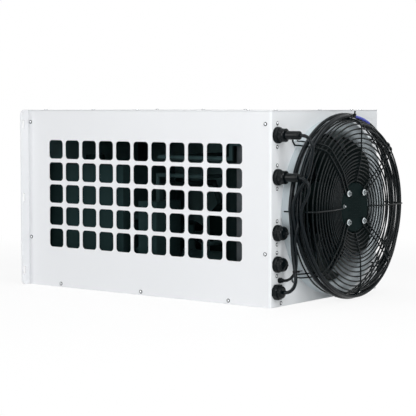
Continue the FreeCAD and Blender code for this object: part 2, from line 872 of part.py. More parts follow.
def cord_tube(name, points, diameter):
    """A round tube along straight runs joined by the largest tangent arcs."""
    points = [V(x_face + x, y, z) for x, y, z in points]
    edges = []
    radii = []
    start = points[0]
    for a, b, c in zip(points, points[1:], points[2:]):
        back = (a - b).normalize()
        ahead = (c - b).normalize()
        half_turn = (math.pi - back.getAngle(ahead)) / 2
        reach = 0.45 * min((a - b).Length, (c - b).Length)
        radii.append(reach / math.tan(half_turn))
        enter = b + back * reach
        leave = b + ahead * reach
        middle = b + (back + ahead).normalize() * (radii[-1] / math.cos(half_turn) - radii[-1])
        edges.append(Part.LineSegment(start, enter).toShape())
        edges.append(Part.Arc(enter, middle, leave).toShape())
        start = leave
    edges.append(Part.LineSegment(start, points[-1]).toShape())
    path = Part.Wire(edges)
    along = (points[1] - points[0]).normalize()
    section = Part.Wire(Part.makeCircle(diameter / 2, points[0], along))
    tube = path.makePipeShell([section], True, False)
    expected = math.pi * diameter ** 2 / 4 * path.Length
    print(name, "length", round(path.Length, 1), "volume share", round(tube.Volume / expected, 3),
          "arc radii", [round(r) for r in radii])
    return tube


lead_out = [(20, -206, 35), (30, -206, 35.3), (39.8, -205.5, 39.6), (47.6, -204.6, 48),
            (51.2, -203.4, 58.9), (50.3, -202.2, 71.9), (46.7, -200.7, 87.5), (42.8, -199.2, 105),
            (39.3, -198, 123.5), (37.3, -197, 142), (36.2, -196.3, 161), (34.3, -195.9, 179.5),
            (32.8, -195.9, 197.5), (31.7, -196.3, 214)]
lead_in = [(62, -203, 385), (71, -203, 385), (81.5, -203, 381.2), (89.9, -203, 372.6),
           (93.8, -202.4, 361.3), (92.9, -201, 348.3), (88.5, -198.5, 332.9), (82.7, -195.2, 316.9),
           (75.7, -192, 300.3), (66.8, -191.3, 284.6), (57, -194, 269.8), (49, -198, 255),
           (43.2, -199.8, 239.5), (40.8, -200.2, 223), (40.7, -198, 206.5), (41.7, -194.4, 191)]
signal_out = [(12, -194, 60), (20, -194, 60.5), (29.5, -194, 64.5), (37, -193.5, 71.5), (42, -192.5, 80.5),
              (44.5, -191.5, 92), (44.8, -191, 106), (44, -191.5, 121), (43.2, -193, 136),
              (43.8, -195, 151), (46.9, -197.4, 165), (49.9, -195.8, 178), (49.6, -191.5, 191)]
signal_in = [(58, -203, 291.5), (66, -203, 291.5), (75.4, -203, 288.1), (82.4, -203, 281),
             (85.7, -203, 271.5), (84.5, -202.6, 260.6), (78.4, -201.4, 248), (70, -199.7, 235.6),
             (63, -198.3, 222.4), (59.7, -196.4, 206.7), (60, -193.2, 188.7), (62.8, -187.5, 170),
             (64.8, -181.5, 152)]


def condenser_fins():
    fins = []
    back = coil_middle() - coil_thickness / 2
    count = int(2 * (coil_half_width - fin_border) / fin_pitch)
    for k in range(count + 1):
        y = -fin_pitch * count / 2 + k * fin_pitch
        fins.append(box(back, back + coil_thickness, y - fin_thickness / 2, y + fin_thickness / 2,
                        coil_foot, coil_foot + coil_height))
    return group(fins)


def tube_heights():
    """Heights of an even number of tubes, so that both ends leave on the near side."""
    rows = 2 * int((coil_height - 2 * tube_radius) / (2 * tube_pitch))
    first = coil_foot + (coil_height - (rows - 1) * tube_pitch) / 2
    return [first + k * tube_pitch for k in range(rows)]


def coil_middle():
    return x_face - shroud_depth - coil_gap - coil_thickness / 2


def condenser_tubes():
    """Straight tubes through the fins, joined at their ends by bends."""
    x = coil_middle()
    reach = coil_half_width + coil_end_reach
    path = []
    for k, z in enumerate(tube_heights()):
        side = 1 if k % 2 == 0 else -1
        path.append(V(x, -side * reach, z))
        path.append(V(x, side * reach, z))
    return wire_bar(path, tube_radius, 8)


def condenser_end_plates():
    plates = []
    half = coil_thickness / 2 + coil_plate_border
    for side in (-1, 1):
        y = side * coil_half_width
        plate = box(coil_middle() - half, coil_middle() + half, y - coil_plate / 2, y + coil_plate / 2,
                    sheet, coil_foot + coil_height + coil_plate_border)
        holes = []
        for z in tube_heights():
            holes.append(rod((coil_middle(), y - coil_plate, z), (0, 1, 0), tube_radius + tube_play, 2 * coil_plate))
        plates.append(plate.cut(holes))
    return group(plates)


def partition():
    """Sheet wall between the fan chamber and the machine space."""
    x = x_face - partition_from_fan
    return box(x - sheet, x, -coil_half_width, coil_half_width, sheet, z_top - lip - 2)


def compressor_can():
    r = compressor_radius
    h = compressor_height
    along, beside = compressor_foot_rim
    base = sheet + foot_height
    profile = [(0, 0), (0, r * 0.6), (14, r), (h - 30, r), (h - 8, r * 0.72), (h, r * 0.3), (h, 0)]
    can = turned(profile, (compressor_x, compressor_side, base + foot_thickness), (0, 0, 1))
    foot = box(compressor_x - r - along, compressor_x + r + along,
               compressor_side - r - beside, compressor_side + r + beside, base, base + foot_thickness)
    return can.fuse(foot)


def compressor_grommets():
    along = compressor_radius + compressor_foot_rim[0] - 12
    beside = compressor_radius + compressor_foot_rim[1] - 12
    grommets = []
    for sx in (-1, 1):
        for sy in (-1, 1):
            foot = (compressor_x + sx * along, compressor_side + sy * beside, sheet)
            grommets.append(rod(foot, (0, 0, 1), grommet_radius, foot_height))
    return group(grommets)


def water_tank():
    """Insulated tank, open at the top under its lid."""
    outer = box(tank_start, tank_end, tank_side, tank_side + tank_width, sheet, tank_height)
    inner = box(tank_start + tank_wall, tank_end - tank_wall, tank_side + tank_wall,
                tank_side + tank_width - tank_wall, sheet + tank_wall, tank_height + 1)
    return outer.cut(inner)


def tank_lid():
    """Lid with its filler neck and cap."""
    top = tank_height + lid_thickness
    lid = box(tank_start, tank_end, tank_side, tank_side + tank_width, tank_height, top)
    neck = rod((tank_start + neck_inset, tank_side + tank_width / 2, top), (0, 0, 1), neck_radius, neck_height)
    return lid.fuse(neck)


def pump_motor():
    body = rod_x(pump_x, pump_x + pump_length, pump_y, pump_axis, pump_radius)
    foot = box(pump_x + pump_foot_inset, pump_x + pump_length - pump_foot_inset,
               pump_y - pump_foot, pump_y + pump_foot, sheet, pump_axis - pump_radius * 0.8)
    return body.fuse(foot)


def pump_head():
    """Volute on the pump's end with its outlet pointing up."""
    rim = pump_radius + pump_head_lip
    profile = [(-pump_head_length, 0), (-pump_head_length, rim * 0.6), (-0.8 * pump_head_length, rim),
               (-0.15 * pump_head_length, rim), (0, pump_radius * 0.86), (0, 0)]
    head = turned(profile, (pump_x, pump_y, pump_axis), (1, 0, 0))
    start = pump_axis + pump_radius * 0.7
    outlet = rod((pump_x - pump_outlet_behind, pump_y, start), (0, 0, 1), hose_radius + 2,
                 pump_axis + pump_outlet - start)
    return head.fuse(outlet)


def heat_exchanger():
    """Brazed plate exchanger, standing."""
    x, y = exchanger_x, exchanger_y
    dx, dy, dz = exchanger
    z0 = sheet + exchanger_foot
    inset = exchanger_foot_inset
    body = box(x - dx / 2, x + dx / 2, y - dy / 2, y + dy / 2, z0, z0 + dz)
    foot = box(x - dx / 2, x + dx / 2, y - dy / 2 + inset, y + dy / 2 - inset, sheet, z0)
    return body.fuse(foot)


def filter_drier():
    span = drier_length
    r = drier_radius
    neck = pipe_radius + 1
    profile = [(0, 0), (0, neck), (10, neck), (10 + drier_cone, r), (span - 10 - drier_cone, r),
               (span - 10, neck), (span, neck), (span, 0)]
    return turned(profile, (drier_x, drier_y, drier_low), (0, 0, 1))


def control_corner():
    """Corner of the control case under the cover, against the far side and the partition."""
    return x_face - partition_from_fan - sheet, y_side - sheet - post_wall, z_top - lip


def control_case():
    dx, dy, dz = control_box
    w = control_wall
    x1, y1, z1 = control_corner()
    shell = box(x1 - dx, x1, y1 - dy, y1, z1 - dz, z1)
    return shell.cut(box(x1 - dx + w, x1 - w, y1 - dy + w, y1 - w, z1 - dz + w, z1 - w))


def circuit_board():
    dx, dy, dz = control_box
    x1, y1, z1 = control_corner()
    y0 = y1 - dy + board_inset + control_wall
    z0 = z1 - dz + control_wall
    return box(x1 - dx + board_inset, x1 - board_inset, y0, y0 + board_thickness, z0, z1 - board_inset - control_wall)


def port(y, z):
    """Water port: a hexagon body against the plate, a threaded end outside and a hose tail inside."""
    points = []
    for k in range(6):
        angle = math.pi / 3 * k
        points.append(V(x_plate, y + port_hex * math.cos(angle), z + port_hex * math.sin(angle)))
    body = prism(points, V(-port_hex_depth, 0, 0))
    end = rod_x(x_plate - port_reach, x_plate, y, z, port_radius)
    tail = rod_x(x_plate, x_plate + port_tail, y, z, port_radius - port_play)
    return body.fuse([end, tail]).cut(rod_x(x_plate - port_reach - 1, x_plate + port_tail + 1, y, z, port_bore))


def hose_ports():
    return group([port(y, z) for y, z in port_places])


def port_nuts():
    nuts = []
    for y, z in port_places:
        points = []
        for k in range(6):
            angle = math.pi / 3 * k
            points.append(V(x_inner, y + port_hex * math.cos(angle), z + port_hex * math.sin(angle)))
        nut = prism(points, V(port_nut, 0, 0))
        nuts.append(nut.cut(rod_x(x_inner - 1, x_inner + port_nut + 1, y, z, port_radius - port_play)))
    return group(nuts)


def pipe(points, radius=pipe_radius):
    return wire_bar([V(*p) for p in points], radius, 8)


def refrigerant_pipes():
    """Compressor to condenser, condenser to drier, drier to exchanger, exchanger to compressor."""
    x, y = compressor_x, compressor_side
    plates_top = sheet + exchanger_foot + exchanger[2]
    heights = tube_heights()
    coil = coil_middle()
    end = -coil_half_width - coil_end_reach
    front = coil - coil_thickness / 2 - discharge_before
    pipe_height = heights[-1] - discharge_drop
    side = -pipe_side
    bend = drier_x + pipe_bend_room
    over = drier_low + drier_length + pipe_bend_room
    feed_x = exchanger_x + exchanger[0] / 4
    feed_y = exchanger_y - exchanger[1] / 4
    suction_x = exchanger_x - exchanger[0] / 4
    suction_y = exchanger_y + exchanger[1] / 4
    return_y = y - 10
    rise = plates_top + suction_rise
    discharge = pipe([(x, y, compressor_top), (x, y, pipe_height), (x, side, pipe_height), (front, side, pipe_height),
                      (front, side, heights[-1]), (coil, side, heights[-1]), (coil, end, heights[-1])])
    liquid = pipe([(coil, end, heights[0]), (coil, side, heights[0]), (bend, side, heights[0]),
                   (bend, side, liquid_height), (bend, drier_y, liquid_height), (drier_x, drier_y, liquid_height),
                   (drier_x, drier_y, drier_low)])
    feed = pipe([(drier_x, drier_y, drier_low + drier_length), (drier_x, drier_y, over), (drier_x, feed_y, over),
                 (feed_x, feed_y, over), (feed_x, feed_y, plates_top)])
    suction = pipe([(suction_x, suction_y, plates_top), (suction_x, suction_y, rise), (suction_x, return_y, rise),
                    (x - compressor_radius * 0.66, return_y, compressor_top - 8)], suction_radius)
    return group([discharge, liquid, feed, suction])


def water_hoses():
    """Tank to pump, pump to outlet port, inlet port to exchanger, exchanger to tank."""
    outlet = pump_axis + pump_outlet
    tail = x_plate + port_tail
    beside = tank_end + hose_room
    (in_y, in_z), (out_y, out_z) = port_places
    return_z = in_z + back_rise
    plates = exchanger_x - exchanger[0] / 2
    riser = pump_x - pump_outlet_behind
    suck = pipe([(tank_end, pump_y, pump_axis), (pump_x - pump_head_length, pump_y, pump_axis)], hose_radius)
    push = pipe([(riser, pump_y, outlet), (riser, pump_y, outlet + hose_rise),
                 (beside, pump_y + push_bends[0], outlet + hose_rise),
                 (beside - 5, pump_y + push_bends[1], outlet + hose_rise),
                 (tank_end - hose_room, out_y, out_z), (tail, out_y, out_z)], hose_radius)
    back = pipe([(tail, in_y, in_z), (tank_end + 5, in_y, in_z), (beside, in_y - back_bend, return_z),
                 (beside, exchanger_y, return_z), (plates, exchanger_y, return_z)], hose_radius)
    fill = pipe([(plates, exchanger_y, fill_height), (tank_end, exchanger_y, fill_height)], hose_radius)
    return group([suck, push, back, fill])


parts = {
    "base_tray": base_tray,
    "mounting_plate": mounting_plate,
    "top_cover": top_cover,
    "perforated_panel": perforated_panel,
    "far_panel": far_panel,
    "fan_panel": fan_panel,
    "corner_posts": corner_posts,
    "side_screws": side_screws,
    "top_screws": top_screws,
    "face_screws": face_screws,
    "fan_shroud": fan_shroud,
    "guard_rings": guard_rings,
    "guard_wires": guard_wires,
    "guard_screws": guard_screws,
    "motor_bolts": motor_bolts,
    "motor_flange": motor_flange,
    "stator_pack": stator_pack,
    "motor_bearings": motor_bearings,
    "motor_shaft": motor_shaft,
    "rotor_bell": rotor_bell,
    "fan_blades": fan_blades,
    "sockets": sockets,
    "plug_body_1": lambda: plug_body(connector_heights[0], barrel_ends[0]),
    "plug_body_2": lambda: plug_body(connector_heights[1], barrel_ends[1]),
    "plug_ring_1": lambda: plug_ring(connector_heights[0]),
    "plug_ring_2": lambda: plug_ring(connector_heights[1]),
    "dust_cap_3": lambda: dust_cap(connector_heights[2]),
    "dust_cap_4": lambda: dust_cap(connector_heights[3]),
    "small_gland": lambda: gland(small_gland, small_gland_across, small_gland_reach, signal_diameter / 2 + 0.05),
    "large_gland": lambda: gland(large_gland, large_gland_across, large_gland_reach, lead_diameter / 2 + 0.05),
    "lead_turns": lambda: cable_turns(lead_turns_rear, lead_turns_front, lead_diameter),
    "lead_out": lambda: cord_tube("lead_out", lead_out, lead_diameter),
    "lead_in": lambda: cord_tube("lead_in", lead_in, lead_diameter),
    "signal_turns": lambda: cable_turns(signal_turns_rear, signal_turns_front, signal_diameter),
    "signal_out": lambda: cord_tube("signal_out", signal_out, signal_diameter),
    "signal_in": lambda: cord_tube("signal_in", signal_in, signal_diameter),
    "condenser_fins": condenser_fins,
    "condenser_tubes": condenser_tubes,
    "condenser_end_plates": condenser_end_plates,
    "partition": partition,
    "compressor_can": compressor_can,
    "compressor_grommets": compressor_grommets,
    "water_tank": water_tank,
    "tank_lid": tank_lid,
    "pump_motor": pump_motor,
    "pump_head": pump_head,
    "heat_exchanger": heat_exchanger,
    "filter_drier": filter_drier,
    "control_case": control_case,
    "circuit_board": circuit_board,
    "refrigerant_pipes": refrigerant_pipes,
    "water_hoses": water_hoses,
    "hose_ports": hose_ports,
    "port_nuts": port_nuts,
}

os.makedirs("parts", exist_ok=True)
for name, make in parts.items():
    shape = make()
    if not shape.isValid():
        print("not valid", name)
    print(name, len(shape.Solids), "solids", round(sum(s.Volume for s in shape.Solids) / 1000, 1), "cm3")
    shape.exportStep("parts/" + name + ".step")
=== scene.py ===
import itertools
import math

import bmesh
import bpy
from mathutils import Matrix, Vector


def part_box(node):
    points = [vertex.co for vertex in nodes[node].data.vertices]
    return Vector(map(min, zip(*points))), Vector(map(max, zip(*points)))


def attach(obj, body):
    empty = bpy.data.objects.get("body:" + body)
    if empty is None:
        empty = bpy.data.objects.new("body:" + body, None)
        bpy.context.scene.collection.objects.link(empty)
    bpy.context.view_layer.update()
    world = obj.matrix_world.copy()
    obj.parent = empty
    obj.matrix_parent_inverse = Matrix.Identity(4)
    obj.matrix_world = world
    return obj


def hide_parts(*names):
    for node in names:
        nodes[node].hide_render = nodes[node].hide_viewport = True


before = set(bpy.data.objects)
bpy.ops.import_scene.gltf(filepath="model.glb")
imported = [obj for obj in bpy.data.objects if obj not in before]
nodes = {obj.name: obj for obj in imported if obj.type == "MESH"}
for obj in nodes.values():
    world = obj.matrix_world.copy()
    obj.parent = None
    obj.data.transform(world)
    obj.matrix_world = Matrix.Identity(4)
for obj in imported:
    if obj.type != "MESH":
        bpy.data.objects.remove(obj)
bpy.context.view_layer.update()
print("frame loaded with", len(nodes), "nodes")

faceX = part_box("fan_panel")[1].x  # outer side of the fan panel
shroudLow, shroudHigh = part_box("fan_shroud")
fanCentre = Vector((faceX, (shroudLow.y + shroudHigh.y) / 2, (shroudLow.z + shroudHigh.z) / 2))
forward = Vector((1, 0, 0))
sharpAngle = math.radians(38)  # edges that turn more than this stay sharp


# Helpers for forms

def fanPoint(along, radius, angle):  # a point ahead of the fan face, about the fan axis
    return fanCentre + Vector((along, radius * math.cos(angle), radius * math.sin(angle)))


def fanAngle(point):  # in degrees, from the far side over the top
    return math.degrees(math.atan2(point.z - fanCentre.z, point.y - fanCentre.y))


def linkPiece(name, data, material, body="case", standsFor=()):
    piece = bpy.data.objects.new(name, data)
    bpy.context.scene.collection.objects.link(piece)
    data.materials.append(material)
    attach(piece, body)
    if standsFor:
        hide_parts(*standsFor)
    return piece


def closeMesh(name, points, faces):  # weld, turn the faces outward and keep the sharp edges
    mesh = bpy.data.meshes.new(name)
    mesh.from_pydata([tuple(p) for p in points], [], faces)
    work = bmesh.new()
    work.from_mesh(mesh)
    bmesh.ops.remove_doubles(work, verts=work.verts, dist=1e-6)
    bmesh.ops.dissolve_degenerate(work, edges=work.edges, dist=1e-7)
    bmesh.ops.recalc_face_normals(work, faces=work.faces)
    work.to_mesh(mesh)
    work.free()
    for polygon in mesh.polygons:
        polygon.use_smooth = True
    mesh.set_sharp_from_angle(angle=sharpAngle)
    return mesh


def meshPiece(name, form, material, body="case", standsFor=()):  # form holds points and faces
    return linkPiece(name, closeMesh(name, *form), material, body, standsFor)


def joined(forms):
    points = []
    faces = []
    for formPoints, formFaces in forms:
        start = len(points)
        points += formPoints
        faces += [tuple(start + i for i in face) for face in formFaces]
    return points, faces


def turned(profile, origin, axis=(1, 0, 0), steps=64, ring=False, ribs=0, depth=0.0, start=0.0):
    # a profile turned about an axis: entries are (along, radius), or (along, radius, 1) where ribs run
    direction = Vector(axis).normalized()
    side = Vector((0, 0, 1)) if abs(direction.z) < 0.5 else Vector((1, 0, 0))
    across = direction.cross(side)
    count = len(profile)
    points = []
    for step in range(steps):
        angle = start + 2 * math.pi * step / steps
        out = side * math.cos(angle) + across * math.sin(angle)
        for along, radius, *ribbed in profile:
            cut = depth * (0.5 - 0.5 * math.cos(ribs * angle)) if ribbed else 0.0
            points.append(Vector(origin) + direction * along + out * (radius - cut))
    faces = []
    for step in range(steps):
        following = (step + 1) % steps
        for i in range(count if ring else count - 1):
            j = (i + 1) % count
            faces.append((step * count + i, step * count + j, following * count + j, following * count + i))
    return points, faces


def eased(points, reach):  # a line with a short curve at each corner
    line = [points[0]]
    for before, corner, after in zip(points, points[1:], points[2:]):
        back, ahead = before - corner, after - corner
        enter = corner + back.normalized() * min(reach, 0.45 * back.length)
        leave = corner + ahead.normalized() * min(reach, 0.45 * ahead.length)
        for step in range(7):
            t = step / 6
            line.append(enter * (1 - t) ** 2 + corner * (2 * t * (1 - t)) + leave * t ** 2)
    line.append(points[-1])
    return line


def roundCurve(name, radius):
    curve = bpy.data.curves.new(name, "CURVE")
    curve.dimensions = "3D"
    curve.bevel_depth = radius
    curve.bevel_resolution = 4
    curve.use_fill_caps = radius > 0
    return curve


def barCurve(name, radius, lines, closed=False):  # round bars along lines of points
    curve = roundCurve(name, radius)
    for line in lines:
        spline = curve.splines.new("POLY")
        spline.points.add(len(line) - 1)
        for item, point in zip(spline.points, line):
            item.co = (*point, 1.0)
        spline.use_cyclic_u = closed
        spline.use_smooth = True
    return curve


def roundedOutline(halfWidth, halfHeight, corner, steps):  # places on a rounded rectangle, with their angle
    outline = []
    for quarter in range(4):
        across = 1 if quarter in (0, 3) else -1
        up = 1 if quarter in (0, 1) else -1
        for step in range(steps + 1):
            angle = math.pi / 2 * (quarter + step / steps)
            outline.append((across * (halfWidth - corner) + corner * math.cos(angle),
                            up * (halfHeight - corner) + corner * math.sin(angle), angle))
    return outline


def solidBoxes(name):  # low and high corner of each separate solid of a CAD node
    mesh = nodes[name].data
    keys = [tuple(round(c, 5) for c in vertex.co) for vertex in mesh.vertices]
    parent = {key: key for key in keys}

    def root(key):
        while parent[key] != key:
            parent[key] = parent[parent[key]]
            key = parent[key]
        return key

    for edge in mesh.edges:
        parent[root(keys[edge.vertices[0]])] = root(keys[edge.vertices[1]])
    groups = {}
    for key in set(keys):
        groups.setdefault(root(key), []).append(key)
    boxes = []
    for members in groups.values():
        low = Vector([min(m[i] for m in members) for i in range(3)])
        high = Vector([max(m[i] for m in members) for i in range(3)])
        boxes.append((low, high))
    return sorted(boxes, key=lambda pair: tuple(pair[0]))


# Materials

def shader(name, color, roughness, metallic=0.0, specular=0.5):
    material = bpy.data.materials.new(name)
    material.use_nodes = True
    surface = material.node_tree.nodes["Principled BSDF"]
    surface.inputs["Base Color"].default_value = (*color, 1.0)
    surface.inputs["Roughness"].default_value = roughness
    surface.inputs["Metallic"].default_value = metallic
    surface.inputs["Specular IOR Level"].default_value = specular
    return material


def link(source, output, target, entry):
    source.id_data.links.new(source.outputs[output], target.inputs[entry])


def mathNode(tree, operation, *values):  # each value is a number or another node's output
    node = tree.nodes.new("ShaderNodeMath")
    node.operation = operation
    for socket, value in zip(node.inputs, values):
        if isinstance(value, (int, float)):
            socket.default_value = value
        else:
            tree.links.new(value, socket)
    return node.outputs["Value"]


def colorMix(tree, share, first, second):  # a color is three numbers or another node's output
    mix = tree.nodes.new("ShaderNodeMix")
    mix.data_type = "RGBA"
    tree.links.new(share, mix.inputs[0])
    for socket, color in ((mix.inputs[6], first), (mix.inputs[7], second)):
        if isinstance(color, tuple):
            socket.default_value = (*color, 1.0)
        else:
            tree.links.new(color, socket)
    tree.links.new(mix.outputs[2], tree.nodes["Principled BSDF"].inputs["Base Color"])


def noiseField(material, scale, detail, stretch):  # noise in the piece's own metres
    tree = material.node_tree
    place = tree.nodes.new("ShaderNodeTexCoord")
    fit = tree.nodes.new("ShaderNodeMapping")
    fit.inputs["Scale"].default_value = stretch
    noise = tree.nodes.new("ShaderNodeTexNoise")
    noise.inputs["Scale"].default_value = scale
    noise.inputs["Detail"].default_value = detail
    link(place, "Object", fit, "Vector")
    link(fit, "Vector", noise, "Vector")
    return noise


def grain(material, scale, strength, distance, stretch=(1, 1, 1)):  # fine bump
    tree = material.node_tree
    noise = noiseField(material, scale, 4.0, stretch)
    bump = tree.nodes.new("ShaderNodeBump")
    bump.inputs["Strength"].default_value = strength
    bump.inputs["Distance"].default_value = distance
    link(noise, "Fac", bump, "Height")
    tree.links.new(bump.outputs["Normal"], tree.nodes["Principled BSDF"].inputs["Normal"])


def mottle(material, low, high, scale, socket="Base Color"):  # a slow change from one value to another
    tree = material.node_tree
    noise = noiseField(material, scale, 3.0, (1, 1, 1))
    ramp = tree.nodes.new("ShaderNodeValToRGB")
    first = low if hasattr(low, "__len__") else (low, low, low)
    second = high if hasattr(high, "__len__") else (high, high, high)
    ramp.color_ramp.elements[0].position = 0.35
    ramp.color_ramp.elements[1].position = 0.65
    ramp.color_ramp.elements[0].color = (*first, 1.0)
    ramp.color_ramp.elements[1].color = (*second, 1.0)
    link(noise, "Fac", ramp, "Fac")
    tree.links.new(ramp.outputs["Color"], tree.nodes["Principled BSDF"].inputs[socket])
    return ramp


def paintedInsideShade(material, ramp, outward, inner, within):
    # painted shade: a dark colour where the sheet faces into the case and lies nearer the middle than
    # "within"
    tree = material.node_tree
    place = tree.nodes.new("ShaderNodeTexCoord")
    parts = tree.nodes.new("ShaderNodeSeparateXYZ")
    link(place, "Object", parts, 0)
    shadeInCase = mathNode(tree, "LESS_THAN", mathNode(tree, "ABSOLUTE", parts.outputs["Y"]), within)
    facing = tree.nodes.new("ShaderNodeNewGeometry")
    dot = tree.nodes.new("ShaderNodeVectorMath")
    dot.operation = "DOT_PRODUCT"
    dot.inputs[1].default_value = outward
    link(facing, "True Normal", dot, 0)
    shadeTurnedIn = mathNode(tree, "LESS_THAN", dot.outputs["Value"], -0.5)
    colorMix(tree, mathNode(tree, "MULTIPLY", shadeTurnedIn, shadeInCase), ramp.outputs["Color"], inner)


def finGapShade(material, light, gapShade, pitch):
    # painted shade in the gaps between the fins one way and between the tube rows the other way
    bandLength = 0.314  # one band of a wave texture at scale 1, in metres
    tree = material.node_tree
    place = tree.nodes.new("ShaderNodeTexCoord")
    edges = []
    for direction in ("Y", "Z"):
        wave = tree.nodes.new("ShaderNodeTexWave")
        wave.bands_direction = direction
        wave.inputs["Scale"].default_value = bandLength / pitch
        link(place, "Object", wave, "Vector")
        edges.append(wave.outputs["Fac"])
    colorMix(tree, mathNode(tree, "MULTIPLY", *edges), gapShade, light)


def patchy(name, low, high, scale, roughness, metallic=0.0, specular=0.5):  # two shades in soft patches
    material = shader(name, low, roughness, metallic, specular)
    mottle(material, low, high, scale)
    return material


def powderCoat(name, color, outward):  # a fine orange peel on a slightly uneven colour, with painted shade where the sheet faces into the case
    material = shader(name, color, 0.42, specular=0.15)
    ramp = mottle(material, color, tuple(c * 0.975 for c in color), 2.2)
    grain(material, 900.0, 0.08, 0.0003)
    paintedInsideShade(material, ramp, outward, paint["inside"], paint["halfWidth"])
    return material


def blackPlastic(name, color, roughness, peel=0.06, specular=0.12):
    material = shader(name, color, roughness, specular=specular)
    mottle(material, roughness * 0.85, roughness * 1.2, 160.0, socket="Roughness")
    grain(material, 600.0, peel, 0.0003)
    return material


def bareMetal(name, color, low, high, scale, metallic=1.0):
    material = shader(name, color, (low + high) / 2, metallic=metallic)
    mottle(material, low, high, scale, socket="Roughness")
    grain(material, 800.0, 0.03, 0.0001)
    return material


# one white powder coat in lit and shaded copies: side, face and top differ only to paint the light and shade
# that falls on each
paint = dict(
    side=(0.80, 0.81, 0.825), face=(0.83, 0.85, 0.865), top=(0.84, 0.85, 0.86), inside=(0.14, 0.24, 0.25),
    halfWidth=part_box("far_panel")[1].y,  # the flanges beyond it keep the outer colour
)
# every powder coat gets the painted inside shade where its sheet faces into the case
nearPaint = powderCoat("near_paint", paint["side"], outward=(0, -1, 0))
farPaint = powderCoat("far_paint", paint["side"], outward=(0, 1, 0))
topPaint = powderCoat("top_paint", paint["top"], outward=(0, 0, 1))
facePaint = powderCoat("face_paint", paint["face"], outward=(1, 0, 0))
platePaint = powderCoat("plate_paint", paint["side"], outward=(-1, 0, 0))

galvanised = patchy("galvanised_sheet", (0.20, 0.21, 0.22), (0.32, 0.33, 0.34), 60.0, 0.42, 1.0)
grain(galvanised, 400.0, 0.05, 0.0002)

# steel darkened as painted shade of the case's inside; the patches are uneven tone
endPlateSteelShaded = patchy("end_plate_steel_painted_shade", (0.035, 0.043, 0.048), (0.055, 0.067, 0.075), 40.0, 0.5, 0.3)
grain(endPlateSteelShaded, 400.0, 0.05, 0.0002)

shroudSteel = patchy("shroud_steel", (0.52, 0.58, 0.61), (0.56, 0.62, 0.65), 9.0, 0.50, 0.15, 0.2)
grain(shroudSteel, 300.0, 0.04, 0.0002, stretch=(1, 0.2, 0.2))

zinc = bareMetal("zinc_screw", (0.80, 0.86, 0.88), 0.20, 0.34, 900.0, metallic=0.3)
screwSteel = bareMetal("panel_screw", (0.80, 0.82, 0.84), 0.20, 0.32, 700.0)
screwShadeRing = blackPlastic("screw_painted_shade_ring", (0.020, 0.022, 0.024), 0.45)
boltSteel = bareMetal("bolt_steel", (0.30, 0.33, 0.34), 0.22, 0.34, 500.0)
recessShade = blackPlastic("screw_recess_painted_shade", (0.012, 0.013, 0.014), 0.6)
steelBright = bareMetal("steel_bright", (0.62, 0.63, 0.65), 0.16, 0.30, 120.0)
portBrass = bareMetal("port_brass", (0.62, 0.46, 0.20), 0.22, 0.36, 150.0)

wireBlack = blackPlastic("black_wire", (0.002, 0.005, 0.006), 0.16, peel=0.01, specular=0.14)
motorBlack = blackPlastic("motor_black", (0.005, 0.011, 0.011), 0.50, peel=0.16, specular=0.02)
bladeBlack = blackPlastic("blade_black", (0.003, 0.007, 0.007), 0.36, peel=0.04, specular=0.06)
plugBlack = blackPlastic("plug_black", (0.002, 0.004, 0.005), 0.16, peel=0.01, specular=0.14)
cableBlack = blackPlastic("cable_black", (0.002, 0.005, 0.007), 0.18, peel=0.01, specular=0.16)
tieBlack = blackPlastic("tie_black", (0.004, 0.004, 0.005), 0.45)
# interior parts: partly their own dark colour, partly painted shade of the case's shadowed inside
innerDarkAndShade = blackPlastic("inner_dark_and_painted_shade", (0.024, 0.045, 0.047), 0.65, peel=0.08, specular=0.04)
foamDark = blackPlastic("foam_dark", (0.015, 0.032, 0.033), 0.85, peel=0.4, specular=0.03)

blueSleeve = patchy("blue_sleeve", (0.04, 0.055, 0.40), (0.06, 0.085, 0.54), 120.0, 0.35)

# the dark lines of the grid are painted shade in the gaps of the coil
finAluminium = shader("fin_aluminium", (0.16, 0.21, 0.24), 0.45, metallic=0.3)
finGapShade(finAluminium, (0.20, 0.27, 0.30), (0.02, 0.03, 0.035), 0.0034)

# copper darkened as painted shade of the case's inside; the patches are uneven tone
pipeCopperShaded = patchy("pipe_copper", (0.07, 0.05, 0.04), (0.12, 0.085, 0.06), 40.0, 0.50, 0.6)

windings = shader("windings", (0.34, 0.14, 0.05), 0.35, metallic=0.8)
grain(windings, 900.0, 0.3, 0.0004)

boardGreen = patchy("board_green", (0.015, 0.1, 0.04), (0.03, 0.15, 0.06), 200.0, 0.4)
print("materials made")

nodeMaterials = [
    (nearPaint, "perforated_panel"), (farPaint, "far_panel"), (topPaint, "top_cover"),
    (facePaint, "fan_panel"), (platePaint, "mounting_plate"), (galvanised, "base_tray"),
    (endPlateSteelShaded, "corner_posts condenser_end_plates"),
    (screwSteel, "side_screws top_screws face_screws"), (shroudSteel, "fan_shroud"),
    (wireBlack, "guard_rings guard_wires"), (zinc, "guard_screws motor_bolts"),
    (motorBlack, "motor_flange rotor_bell compressor_can"), (windings, "stator_pack"),
    (steelBright, "motor_bearings motor_shaft"), (bladeBlack, "fan_blades"),
    (plugBlack, "sockets plug_body_1 plug_body_2 plug_ring_1 plug_ring_2"),
    (plugBlack, "dust_cap_3 dust_cap_4 small_gland large_gland"),
    (cableBlack, "lead_turns lead_out lead_in signal_turns signal_out signal_in"),
    (finAluminium, "condenser_fins"), (pipeCopperShaded, "condenser_tubes filter_drier"),
    (innerDarkAndShade, "partition pump_motor pump_head control_case refrigerant_pipes"),
    (foamDark, "compressor_grommets water_tank tank_lid heat_exchanger water_hoses"),
    (boardGreen, "circuit_board"), (portBrass, "hose_ports port_nuts"),
]
for material, names in nodeMaterials:
    for name in names.split():
        mesh = nodes[name].data
        mesh.materials.clear()
        mesh.materials.append(material)
print("node materials set")


# Near side with its rounded square openings

panelForm = dict(
    opening=0.046, corner=0.009, pitch=0.055, columns=11, rows=5, fromFan=0.1025, fromTop=0.098,
    cornerSteps=8, edgeRound=0.0003,
)


